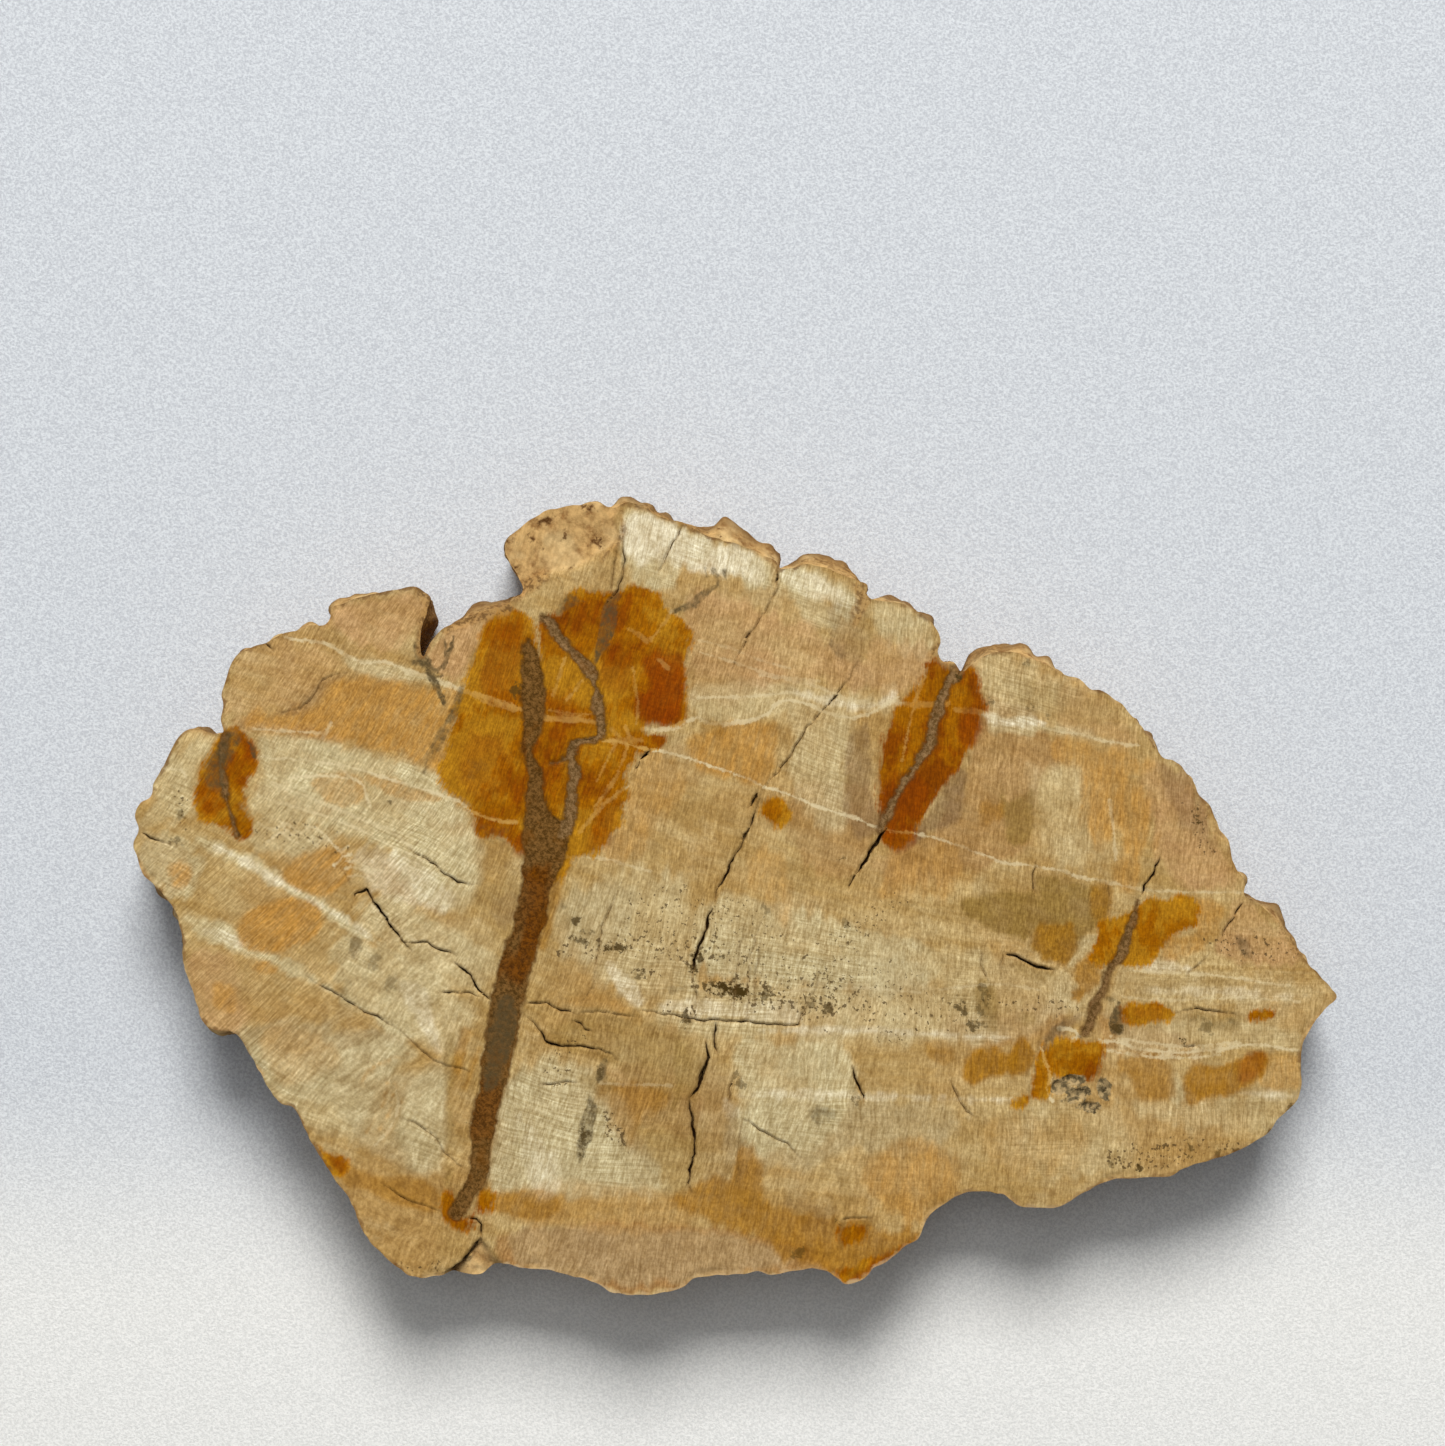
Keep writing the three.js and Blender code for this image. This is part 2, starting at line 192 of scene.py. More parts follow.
edge = np.column_stack([place(FACE_EDGE), FACE_EDGE[:, 2] * UNIT])
edge = even_steps(spline(edge, True), EDGE_STEPS, True)
EDGE_OUT = np.roll(edge[:, :2], -2, axis=0) - np.roll(edge[:, :2], 2, axis=0)
EDGE_OUT /= np.linalg.norm(EDGE_OUT, axis=1)[:, None]
EDGE_OUT = np.column_stack([EDGE_OUT[:, 1], -EDGE_OUT[:, 0]])
ex, ey = edge[:, 0] / MM, edge[:, 1] / MM
nibble = 0.09 * wobble(ex, ey, 0, 2.9) + 0.07 * crumble(ex, ey, 0 * ex, 1.1, 2, 5)
EDGE = edge[:, :2] + EDGE_OUT * (nibble * MM)[:, None]
FLARE = edge[:, 2]
girth = np.linalg.norm(np.diff(EDGE, axis=0), axis=1).sum()
print("edge points", len(EDGE), "girth mm", round(float(girth) / MM, 1))

# %% [markdown]
# The marks on the face, each traced. Cracks and veins are lines with a width, the amber agate
# and the olive stains are closed shapes, and the broken corner and the lost flake are places where
# the polish is gone.

# %% Marks on the face
# Cracks as (half width, marks).
CRACKS = [
    (0.7, [(777, 568), (777, 590), (769, 603), (762, 615), (757, 625), (750, 634), (744, 645), (739, 657),
           (733, 669), (726, 684)]),
    (1.0, [(777, 568), (777, 586)]),
    (1.2, [(753, 629), (745, 639)]),
    (0.8, [(857, 663), (848, 680), (838, 694), (830, 702), (820, 713), (808, 727), (799, 741), (790, 756),
           (781, 770), (764, 785), (759, 798)]),
    (1.3, [(837, 694), (827, 706)]),
    (1.3, [(759, 798), (753, 820), (747, 834), (740, 849), (727, 872), (720, 884), (712, 905)]),
    (1.5, [(756, 793), (750, 807)]),
    (1.6, [(749, 826), (742, 841)]),
    (1.7, [(712, 905), (706, 928), (700, 944), (694, 962), (692, 980)]),
    (0.7, [(283, 712), (300, 709), (310, 702), (317, 690), (322, 681), (330, 676), (345, 673)]),
    (0.5, [(741, 1125), (739, 1145), (738, 1170), (735, 1185)]),
    (0.5, [(340, 868), (347, 878), (352, 884)]),
    (2.4, [(481, 1238), (474, 1248), (468, 1255), (460, 1264), (452, 1270), (445, 1274)]),
    (0.7, [(1108, 886), (1110, 900), (1108, 914), (1106, 920)]),
    (0.6, [(982, 950), (982, 965), (986, 978), (990, 985)]),
    (0.5, [(1004, 952), (1001, 965), (1000, 978)]),
    (0.6, [(576, 1014), (600, 1012), (622, 1016), (640, 1017)]),
    (0.9, [(570, 1020), (580, 1024), (584, 1030), (592, 1032)]),
    (0.5, [(558, 578), (562, 586), (560, 596)]),
    (0.6, [(693, 980), (697, 999), (694, 1018)]),
    (0.9, [(683, 521), (678, 537), (668, 552), (663, 565), (657, 576)]),
    (0.9, [(621, 520), (623, 540), (624, 560), (622, 575), (618, 590), (608, 600), (603, 612)]),
    (0.8, [(616, 545), (615, 560), (614, 575), (612, 592)]),
    (2.3, [(706, 1042), (709, 1058), (704, 1070), (701, 1080), (697, 1090), (690, 1098)]),
    (1.6, [(690, 1098), (690, 1110), (692, 1120), (694, 1130), (695, 1142), (693, 1155), (691, 1168),
           (688, 1184), (692, 1192)]),
    (1.5, [(716, 1022), (714, 1035), (715, 1048), (717, 1055)]),
    (0.8, [(641, 985), (639, 1000), (640, 1011), (652, 1012), (659, 1015), (680, 1017), (694, 1020),
           (720, 1021), (731, 1020), (745, 1021), (771, 1024), (798, 1025), (803, 1014), (808, 1005),
           (812, 995), (818, 984), (819, 974)]),
    (0.7, [(621, 883), (602, 930), (596, 957), (592, 986), (583, 999)]),
    (0.5, [(745, 925), (736, 970), (733, 1018)]),
    (0.5, [(761, 919), (749, 964), (747, 1021)]),
    (0.5, [(761, 938), (755, 973), (753, 1012)]),
    (1.1, [(408, 848), (426, 859), (438, 867), (457, 883), (476, 885)]),
    (1.4, [(351, 907), (355, 894), (368, 890), (373, 901), (380, 910), (387, 922), (395, 932), (404, 942),
           (411, 950)]),
    (1.0, [(404, 942), (428, 942), (438, 949), (457, 955)]),
    (1.3, [(454, 963), (470, 976), (481, 992), (491, 1002)]),
    (0.9, [(438, 992), (460, 992), (481, 996)]),
    (0.8, [(304, 975), (324, 987), (344, 1000), (369, 1014), (385, 1022), (400, 1030)]),
    (0.6, [(400, 1030), (416, 1044), (428, 1057), (446, 1066), (475, 1073)]),
    (0.6, [(400, 1117), (420, 1126), (434, 1136), (444, 1151), (456, 1163), (470, 1172)]),
    (0.7, [(380, 1183), (395, 1193), (409, 1201), (428, 1207), (440, 1211)]),
    (1.0, [(524, 1003), (545, 1002), (560, 1010), (576, 1013)]),
    (1.1, [(522, 1012), (535, 1023), (542, 1033), (546, 1041), (559, 1046), (578, 1047), (602, 1049),
           (608, 1053), (617, 1060)]),
    (0.7, [(539, 1083), (553, 1086), (565, 1083), (578, 1083)]),
    (0.9, [(743, 1119), (759, 1130), (775, 1139), (788, 1144), (800, 1157)]),
    (1.2, [(853, 1066), (854, 1076), (860, 1087), (863, 1096), (864, 1105)]),
    (0.8, [(949, 1080), (955, 1090), (959, 1102), (965, 1110), (975, 1116)]),
    (1.4, [(1004, 951), (1021, 960), (1037, 967), (1055, 971)]),
    (0.9, [(1035, 862), (1032, 880), (1035, 895)]),
    (1.4, [(1160, 857), (1152, 875), (1145, 885), (1140, 897)]),
    (1.0, [(1246, 896), (1241, 905), (1230, 922), (1220, 940)]),
    (0.5, [(1208, 955), (1196, 966), (1187, 976)]),
    (0.7, [(1175, 1013), (1190, 1009), (1225, 1012), (1240, 1016)]),
    (0.7, [(1180, 1046), (1200, 1046)]),
    (2.2, [(887, 829), (875, 845), (865, 862), (855, 875)]),
    (1.0, [(855, 875), (848, 888)]),
    (0.8, [(735, 1075), (730, 1090), (727, 1103)]),
    (0.6, [(840, 1220), (860, 1218), (872, 1217)]),
    (0.9, [(266, 643), (273, 652)]),
    (0.9, [(140, 833), (150, 838), (165, 842), (172, 845)]),
    (1.2, [(650, 750), (643, 756), (640, 760)]),
    (0.9, [(640, 760), (636, 770)]),
    (1.0, [(481, 1240), (480, 1226), (475, 1220), (465, 1216)]),
    (1.6, [(961, 668), (958, 676)]),
]
# Grey agate veins as marks with a half width each.
VEINS = [
    [(528, 638, 1), (529, 645, 4), (531, 653, 8), (532, 674, 11), (533, 694, 11.5), (533, 715, 10),
     (531, 731, 9), (528, 745, 6), (531, 762, 6), (535, 776, 7), (536, 794, 8), (539, 818, 14),
     (546, 840, 21), (543, 863, 19), (537, 885, 16), (532, 907, 15), (526, 932, 14.5), (515, 964, 15.5),
     (508, 996, 15), (502, 1028, 15), (497, 1059, 13.5), (491, 1091, 12.5), (483, 1123, 12),
     (481, 1155, 9.5), (478, 1177, 8), (473, 1187, 8), (462, 1203, 9), (457, 1214, 7)],
    [(541, 616, 2), (549, 622, 5), (556, 631, 6), (564, 644, 4.5), (575, 655, 3), (583, 664, 4),
     (590, 672, 5), (596, 688, 4.5), (599, 706, 5), (602, 722, 5), (601, 732, 5), (596, 738, 2.5),
     (585, 740, 1.8), (574, 745, 4), (572, 757, 6), (574, 775, 6), (571, 800, 5), (569, 820, 6),
     (562, 832, 7), (554, 842, 9)],
    [(551, 763, 1.5), (559, 762, 3.5), (570, 757, 5)],
    [(957, 664, 4), (955, 672, 6), (945, 690, 4.5), (938, 712, 4.5), (932, 735, 4.5), (925, 752, 4.5),
     (915, 768, 4), (905, 783, 4), (895, 800, 4), (885, 820, 4), (880, 832, 3)],
    [(1138, 900, 1.5), (1131, 925, 3), (1126, 942, 4.5), (1119, 957, 4.5), (1110, 970, 4), (1104, 985, 4),
     (1098, 1000, 4), (1092, 1015, 4.5), (1086, 1033, 5)],
    [(228, 734, 2), (222, 750, 3), (221, 770, 2.5), (224, 782, 2.5), (227, 800, 3), (231, 816, 3),
     (238, 834, 2)],
]
# How grey each vein is, against brown.
VEIN_GREY = [0.25, 0.9, 0.9, 1.0, 0.7, 0.7]
# Amber agate, with the darkness that each patch adds.
AMBER = [
    (0.12, [(215, 745), (205, 760), (200, 775), (195, 790), (198, 805), (200, 818), (215, 825), (232, 833),
            (240, 838), (252, 835), (256, 825), (248, 812), (245, 795), (248, 780), (256, 762), (258, 750),
            (252, 740), (245, 728), (232, 727), (222, 738)]),
    (0.0, [(500, 612), (490, 620), (480, 640), (472, 660), (464, 685), (458, 700), (452, 720), (446, 740),
           (442, 760), (440, 780), (448, 793), (462, 803), (474, 818), (478, 832), (484, 838), (500, 834),
           (511, 842), (518, 850), (530, 855), (540, 800), (545, 720), (540, 650), (530, 620), (515, 610)]),
    (0.12, [(540, 622), (556, 612), (562, 600), (575, 591), (590, 588), (610, 590), (622, 588), (632, 584),
           (645, 586), (655, 592), (664, 604), (674, 615), (685, 622), (692, 638), (686, 660), (684, 700),
           (682, 722), (647, 726), (650, 735), (666, 735), (662, 746), (640, 752), (632, 765), (628, 778),
           (623, 815), (610, 838), (596, 853), (573, 863), (561, 880), (545, 890), (530, 860), (530, 700),
           (538, 650)]),
    (0.5, [(928, 663), (920, 680), (905, 700), (893, 715), (885, 735), (878, 760), (877, 785), (880, 805),
           (883, 825), (884, 845), (897, 851), (908, 845), (914, 833), (922, 820), (935, 803), (948, 785),
           (960, 765), (970, 745), (979, 725), (984, 705), (980, 690), (977, 670), (970, 662), (955, 668),
           (940, 660)]),
    (0.0, [(776, 799), (788, 806), (790, 818), (780, 827), (768, 824), (762, 812), (767, 802)]),
    (0.1, [(1100, 925), (1115, 918), (1138, 905), (1150, 898), (1172, 900), (1185, 895), (1197, 900),
           (1196, 922), (1172, 940), (1160, 955), (1148, 962), (1130, 967), (1118, 962), (1104, 968),
           (1092, 962), (1094, 948), (1098, 940)]),
    (0.25, [(1118, 1008), (1125, 1004), (1145, 1003), (1160, 1006), (1175, 1012), (1172, 1018),
            (1160, 1022), (1140, 1024), (1122, 1021)]),
    (0.1, [(1249, 1015), (1262, 1009), (1277, 1014), (1264, 1021)]),
    (0.1, [(1045, 1045), (1060, 1040), (1080, 1042), (1102, 1044), (1103, 1060), (1098, 1078), (1088, 1083),
           (1075, 1078), (1062, 1075), (1050, 1078), (1047, 1095), (1035, 1100), (1022, 1110), (1014, 1106),
           (1018, 1098), (1028, 1090), (1033, 1075), (1040, 1055)]),
    (0.15, [(443, 1190), (452, 1186), (458, 1195), (456, 1212), (470, 1218), (477, 1222), (470, 1230),
            (450, 1231), (441, 1218)]),
    (0.1, [(476, 1194), (488, 1190), (495, 1198), (488, 1210), (474, 1208)]),
    (0.1, [(314, 1142), (325, 1150), (343, 1160), (347, 1168), (338, 1176), (328, 1170)]),
    (0.2, [(835, 1228), (850, 1222), (870, 1226), (868, 1240), (845, 1244)]),
    (0.2, [(872, 1256), (895, 1246), (918, 1237), (898, 1258), (872, 1276), (846, 1283), (838, 1276)]),
]
# Broad soft stains as (strength, softness in mm, marks). Marks with three numbers are a band and its
# half width, and the others are a closed outline.
STAINS = {
    "cream": [
        (0.9, 0.9, [(622, 512), (640, 506), (660, 518), (690, 532), (720, 545), (750, 555), (772, 565),
                    (776, 592), (750, 590), (718, 566), (690, 562), (660, 590), (640, 580), (625, 565)]),
        (0.9, 0.8, [(780, 570), (800, 567), (822, 572), (850, 592), (856, 612), (843, 616), (828, 600),
                    (812, 592), (795, 600), (782, 590)]),
        (0.65, 1.0, [(872, 603), (905, 608), (925, 620), (936, 640), (928, 652), (900, 650), (880, 632)]),
        (0.55, 1.0, [(150, 800), (160, 770), (180, 742), (215, 738), (222, 748), (205, 760), (192, 790),
                     (185, 820), (150, 826)]),
        (0.9, 1.0, [(258, 738), (300, 736), (340, 746), (380, 756), (438, 776), (455, 802), (475, 825),
                    (480, 860), (475, 888), (455, 910), (425, 905), (390, 850), (340, 832), (300, 826),
                    (262, 822), (255, 795), (262, 775)]),
        (0.7, 1.0, [(330, 945), (360, 938), (400, 950), (450, 985), (470, 1010), (450, 1050), (410, 1040),
                    (380, 1022), (345, 995)]),
        (0.6, 0.7, [(243, 838), (262, 816), (300, 818), (335, 832), (325, 848), (285, 852), (262, 850)]),
        (0.5, 1.2, [(255, 1072), (290, 1102), (320, 1135), (355, 1150), (372, 1120), (375, 1092),
                    (350, 1080), (300, 1082)]),
        (0.6, 1.0, [(405, 1085), (440, 1062), (447, 1120), (444, 1178), (415, 1168), (398, 1135)]),
        (0.65, 1.2, [(512, 1095), (545, 1058), (575, 1066), (600, 1090), (622, 1150), (655, 1172),
                     (668, 1192), (600, 1190), (540, 1192), (498, 1186), (495, 1150)]),
        (0.5, 1.5, [(570, 895), (620, 868), (680, 876), (692, 920), (684, 960), (692, 1002), (650, 1008),
                    (620, 992), (588, 965)]),
        (0.6, 1.0, [(700, 985), (760, 978), (850, 990), (940, 985), (1000, 1010), (990, 1040), (900, 1040),
                    (820, 1036), (700, 1036), (655, 1016), (655, 1002)]),
        (0.4, 0.8, [(940, 950), (1000, 958), (1060, 975), (1090, 990), (1085, 1018), (1060, 1012),
                    (1040, 1036), (1000, 1040), (955, 1030)]),
        (0.25, 0.8, [(1125, 964), (1160, 961), (1200, 966), (1260, 974), (1320, 986), (1328, 998),
                    (1290, 1004), (1230, 1002), (1180, 998), (1130, 1001)]),
        (0.35, 0.6, [(1120, 1026), (1200, 1020), (1260, 1025), (1300, 1036), (1300, 1052), (1240, 1046),
                    (1180, 1052), (1118, 1046)]),
        (0.45, 1.0, [(975, 662), (1010, 658), (1050, 675), (1080, 692), (1060, 712), (1000, 714),
                     (986, 690)]),
        (0.3, 1.6, [(1030, 765), (1080, 770), (1092, 800), (1100, 850), (1085, 872), (1050, 864),
                    (1036, 850), (1034, 800)]),
        (0.55, 1.0, [(786, 705), (830, 690), (872, 700), (858, 722), (846, 790), (838, 835), (806, 812),
                     (790, 770), (800, 735)]),
        (0.6, 0.8, [(690, 690), (790, 682), (860, 694), (898, 690), (880, 712), (800, 708), (765, 718),
                    (700, 722)]),
        (0.7, 0.5, [(1168, 1074), (1178, 1074), (1189, 1099), (1170, 1100)]),
        (0.4, 0.9, [(1120, 1102), (1190, 1101), (1250, 1093), (1297, 1096), (1268, 1130), (1200, 1130)]),
        (0.7, 0.9, [(700, 905), (760, 898), (860, 928), (940, 955), (930, 985), (860, 985), (760, 976),
                    (706, 972)]),
        (0.6, 0.8, [(360, 905), (400, 900), (450, 930), (490, 950), (480, 985), (440, 985), (395, 960),
                    (365, 930)]),
        (0.6, 0.8, [(215, 1040), (260, 1050), (300, 1056), (380, 1040), (420, 1052), (380, 1080),
                    (320, 1100), (280, 1100), (245, 1060)]),
        (0.8, 0.9, [(735, 1042), (800, 1045), (850, 1056), (836, 1128), (800, 1150), (746, 1150),
                    (736, 1100)]),
        (0.6, 0.7, [(780, 590), (812, 592), (832, 606), (840, 625), (824, 632), (800, 612)]),
        (0.8, 0.8, [(140, 838), (170, 832), (196, 850), (190, 900), (168, 892), (146, 868)]),
        (0.3, 0.9, [(1010, 1116), (1120, 1112), (1130, 1160), (1040, 1180), (1004, 1160)]),
        (0.7, 0.4, [(262, 785, 4), (300, 797, 6), (340, 812, 7), (380, 826, 7), (420, 845, 6),
                    (455, 860, 4)]),
        (0.9, 0.4, [(200, 842, 4), (240, 858, 7), (262, 870, 7), (290, 889, 6), (320, 906, 4), (350, 926, 4),
                    (380, 945, 4), (402, 960, 3)]),
        (0.9, 0.5, [(188, 918, 5), (212, 930, 11), (228, 938, 10), (245, 948, 6), (270, 959, 5),
                    (300, 972, 6), (330, 990, 4), (360, 1006, 3), (395, 1030, 4)]),
        (0.7, 0.4, [(345, 660, 3), (370, 668, 8), (400, 674, 7), (430, 680, 4), (455, 690, 4)]),
        (0.8, 0.5, [(1000, 725, 7), (1025, 726, 9), (1047, 728, 5), (1075, 732, 3), (1110, 742, 3)]),
        (0.5, 0.4, [(1100, 935, 3), (1086, 945, 9), (1080, 952, 8), (1074, 962, 4)]),
        (0.35, 0.3, [(1105, 968, 6), (1096, 985, 6), (1086, 1008, 5)]),
        (0.35, 0.4, [(1126, 970, 5), (1118, 992, 6), (1108, 1015, 5)]),
    ],
    "white": [
        (0.75, 0.6, [(624, 520), (648, 514), (690, 536), (732, 548), (762, 562), (768, 590), (744, 580),
                    (712, 572), (684, 566), (660, 560), (640, 562), (627, 552)]),
        (0.5, 0.6, [(780, 574), (812, 574), (840, 590), (852, 604), (820, 600), (790, 590)]),
        (0.6, 0.5, [(800, 572), (826, 580), (848, 600), (838, 606), (815, 586)]),
        (0.45, 0.8, [(352, 852), (380, 850), (412, 862), (440, 880), (455, 902), (440, 914), (418, 908),
                    (392, 896), (368, 884)]),
        (0.6, 0.3, [(215, 846, 2), (245, 861, 3.5), (275, 880, 3.5), (300, 894, 2), (340, 917, 1.5),
                    (380, 943, 1.5)]),
        (0.5, 0.4, [(205, 930, 3), (228, 938, 6), (240, 945, 2)]),
        (0.4, 0.5, [(657, 1006), (690, 999), (740, 1003), (798, 1004), (798, 1021), (740, 1019),
                    (695, 1016)]),
        (0.8, 0.3, [(1002, 722, 3), (1025, 722, 5), (1044, 724, 3)]),
        (0.5, 0.4, [(1140, 966, 2), (1165, 966, 5), (1190, 970, 3)]),
        (0.3, 0.4, [(1130, 990, 2), (1190, 991, 3), (1260, 994, 3), (1310, 997, 2)]),
        (0.5, 0.6, [(395, 975, 2), (415, 1000, 8), (430, 1030, 8), (438, 1050, 3)]),
        (0.35, 0.8, [(520, 1120, 3), (535, 1150, 14), (545, 1185, 8)]),
        (0.5, 0.3, [(760, 1031, 1.5), (850, 1030, 2.5), (940, 1035, 2), (1010, 1038, 1)]),
        (0.5, 0.4, [(735, 1096, 2), (790, 1094, 4), (850, 1096, 3), (930, 1098, 2), (1010, 1099, 1)]),
        (0.6, 0.5, [(1240, 1094, 2), (1268, 1094, 3), (1292, 1096, 2)]),
        (0.4, 0.4, [(727, 1098), (741, 1112), (726, 1120)]),
        (0.5, 0.4, [(608, 965, 3), (625, 985, 8), (640, 1000, 3)]),
        (0.6, 0.3, [(985, 715, 1.5), (1000, 720, 2.5)]),
        (0.5, 0.4, [(790, 690, 1.5), (825, 700, 4), (870, 706, 4), (893, 696, 2)]),
    ],
    "tan_and_bottom_shade": [
        (0.6, 0.9, [(986, 700), (1040, 716), (1062, 756), (1040, 790), (1030, 850), (1000, 862), (940, 882),
                    (890, 882), (868, 862), (905, 848), (930, 830), (955, 800), (975, 750)]),
        (0.5, 0.9, [(790, 790), (840, 780), (872, 800), (872, 850), (840, 872), (800, 852)]),
        (0.2, 0.8, [(690, 745), (704, 768), (680, 800), (640, 860), (600, 862), (625, 820), (632, 780),
                     (662, 750)]),
        (0.5, 0.8, [(696, 655), (780, 662), (784, 684), (740, 696), (690, 700)]),
        (0.45, 0.5, [(258, 788, 4), (300, 800, 7), (340, 816, 6), (372, 830, 3)]),
        (0.4, 0.5, [(392, 798, 5), (440, 815, 7), (462, 830, 4)]),
        # Painted shade: this strong band darkens the face along its lower edge.
        (0.9, 0.6, [(500, 1238), (560, 1228), (640, 1224), (720, 1228), (780, 1240), (822, 1256), (832, 1274),
                    (760, 1275), (690, 1290), (600, 1290), (540, 1272), (500, 1264)]),
        (0.5, 0.8, [(600, 1070), (660, 1066), (700, 1100), (690, 1130), (650, 1130), (616, 1110)]),
        (0.5, 0.6, [(1100, 1012), (1140, 1024), (1180, 1034), (1200, 1054), (1140, 1056), (1104, 1046)]),
        (0.5, 0.8, [(950, 1020), (1010, 1010), (1060, 1000), (1060, 1034), (1000, 1046), (952, 1040)]),
    ],
    "grey": [
        (0.7, 1.0, [(505, 1090), (560, 1064), (610, 1080), (640, 1140), (662, 1190), (580, 1192),
                    (498, 1186)]),
        (0.5, 1.0, [(340, 1090), (396, 1070), (444, 1080), (446, 1176), (400, 1166), (352, 1150)]),
        (0.5, 1.0, [(730, 1110), (840, 1104), (960, 1110), (950, 1142), (860, 1150), (740, 1170)]),
        (0.6, 0.8, [(700, 945), (800, 955), (920, 968), (930, 990), (850, 990), (760, 980), (705, 974)]),
        (0.45, 0.9, [(560, 902), (620, 880), (640, 900), (610, 950), (580, 960), (558, 940)]),
        (0.6, 0.9, [(232, 1032), (340, 1028), (404, 1040), (384, 1090), (300, 1098), (256, 1066)]),
        (0.4, 0.6, [(510, 1232), (640, 1230), (740, 1236), (800, 1256), (700, 1280), (600, 1282),
                    (520, 1262)]),
    ],
    "slate": [
        (0.85, 0.15, [(415, 646, 1.5), (420, 656, 5), (428, 665, 5), (432, 678, 4.5), (440, 691, 3.5),
                      (443, 703, 1.5)]),
        (0.8, 0.12, [(428, 666, 2), (436, 671, 3), (444, 664, 2), (450, 650, 1.5), (452, 636, 0.8)]),
        (0.7, 0.12, [(444, 664, 1), (446, 650, 0.9), (444, 640, 0.7)]),
        (0.7, 0.12, [(414, 662, 2), (424, 664, 4)]),
        (0.7, 0.12, [(431, 676, 2), (440, 678, 1.5), (448, 672, 0.8)]),
        (0.55, 0.35, [(424, 772, 2.5), (428, 757, 4), (436, 743, 4.5), (446, 727, 4), (455, 708, 3.5),
                      (461, 690, 2)]),
        (0.7, 0.15, [(675, 612, 2.5), (684, 608, 3.5), (694, 603, 4), (702, 597, 3.5), (710, 592, 2.5),
                     (718, 584, 1.5), (719, 576, 1)]),
        (0.6, 0.2, [(706, 566, 1.5), (707, 577, 1.5)]),
        (0.65, 0.2, [(712, 569, 3), (715, 573, 3)]),
        (0.6, 0.2, [(724, 570, 2), (726, 579, 1.2)]),
        (0.5, 0.2, [(733, 571, 1.5), (735, 579, 1)]),
        (0.4, 0.25, [(742, 573, 1.5), (744, 582, 1.2)]),
        (0.7, 0.3, [(617, 592, 3), (612, 603, 5), (609, 616, 7), (607, 630, 7), (604, 642, 5.5),
                    (599, 653, 3), (596, 662, 1.2)]),
        (0.55, 0.25, [(560, 612, 3), (566, 604, 5), (574, 600, 5), (582, 601, 2)]),
        (0.6, 0.5, [(222, 738), (232, 729), (241, 735), (236, 752), (229, 770), (224, 790), (212, 792),
                    (203, 780), (206, 764)]),
        (0.7, 0.3, [(246, 740, 2), (252, 748, 4.5), (255, 758, 2.5)]),
        (0.2, 0.6, [(452, 770), (470, 756), (490, 762), (486, 780), (462, 784)]),
        (0.35, 0.5, [(480, 824), (508, 826), (500, 842), (484, 842)]),
        (0.65, 0.2, [(590, 1097, 1), (590, 1108, 5), (587, 1122, 6.5), (584, 1138, 6), (581, 1150, 4.5),
                     (579, 1161, 1.5)]),
        (0.7, 0.2, [(606, 1060, 2), (603, 1068, 4.5), (600, 1076, 4.5), (597, 1082, 1.5)]),
        (0.45, 0.25, [(812, 1108), (826, 1106), (838, 1112), (832, 1122), (818, 1125), (811, 1116)]),
        (0.85, 0.15, [(1120, 1002, 1.2), (1118, 1012, 4), (1114, 1021, 6), (1117, 1027, 7.5)]),
        (0.35, 0.4, [(655, 988, 3), (675, 990, 6), (695, 992, 5)]),
        (0.75, 0.5, [(506, 1004, 10), (502, 1035, 13), (496, 1062, 12), (491, 1085, 7)]),
        (0.5, 0.3, [(1046, 1042, 3), (1054, 1032, 5), (1064, 1024, 2)]),
        (0.5, 0.3, [(1238, 940, 2), (1243, 947, 4), (1250, 959, 1.5)]),
        (0.5, 0.3, [(936, 655, 3), (940, 645, 3)]),
        (0.4, 0.3, [(830, 640, 4), (842, 654, 6), (852, 660, 3)]),
    ],
    "crust": [
        (1.0, 0.3, [(420, 590, 5), (430, 606, 9), (426, 628, 8), (421, 650, 4)]),
        (1.0, 0.3, [(442, 632, 3), (466, 620, 6), (506, 607, 7)]),
        (1.0, 0.3, [(516, 594, 6), (530, 584, 7), (546, 576, 5)]),
        (0.9, 0.25, [(624, 503, 2), (642, 506, 3), (662, 516, 2.5), (684, 524, 2.5), (700, 532, 2)]),
        (0.9, 0.25, [(702, 520, 2), (722, 514, 3), (742, 516, 3), (760, 534, 3), (774, 552, 3)]),
        (0.9, 0.25, [(800, 560, 2), (826, 560, 3), (850, 570, 3), (868, 584, 3)]),
        (0.7, 0.25, [(966, 662, 3), (984, 650, 2.5), (1004, 648, 2)]),
        (0.8, 0.3, [(600, 560, 4), (612, 548, 4), (622, 530, 3), (622, 510, 3)]),
        (0.9, 0.25, [(856, 588, 4), (864, 598, 7), (858, 614, 5), (854, 624, 2)]),
        (0.8, 0.3, [(930, 656, 3), (938, 644, 3)]),
        (0.8, 0.3, [(772, 560, 2), (777, 570, 1.5)]),
        (0.7, 0.3, [(946, 666, 2), (958, 672, 3)]),
        (0.7, 0.3, [(1262, 910, 2.5), (1284, 930, 4), (1302, 956, 3.5), (1312, 966, 1.5)]),
        (0.5, 0.3, [(1190, 790, 2), (1206, 808, 3), (1216, 830, 2)]),
        (0.5, 0.3, [(220, 724, 2), (236, 732, 3)]),
    ],
    "pink": [
        (0.35, 1.0, [(235, 655), (270, 643), (330, 648), (345, 665), (328, 676), (318, 700), (300, 712),
                     (270, 705), (240, 716), (225, 716), (224, 690)]),
        (0.15, 0.6, [(137, 835), (175, 840), (190, 858), (185, 892), (160, 890), (143, 865)]),
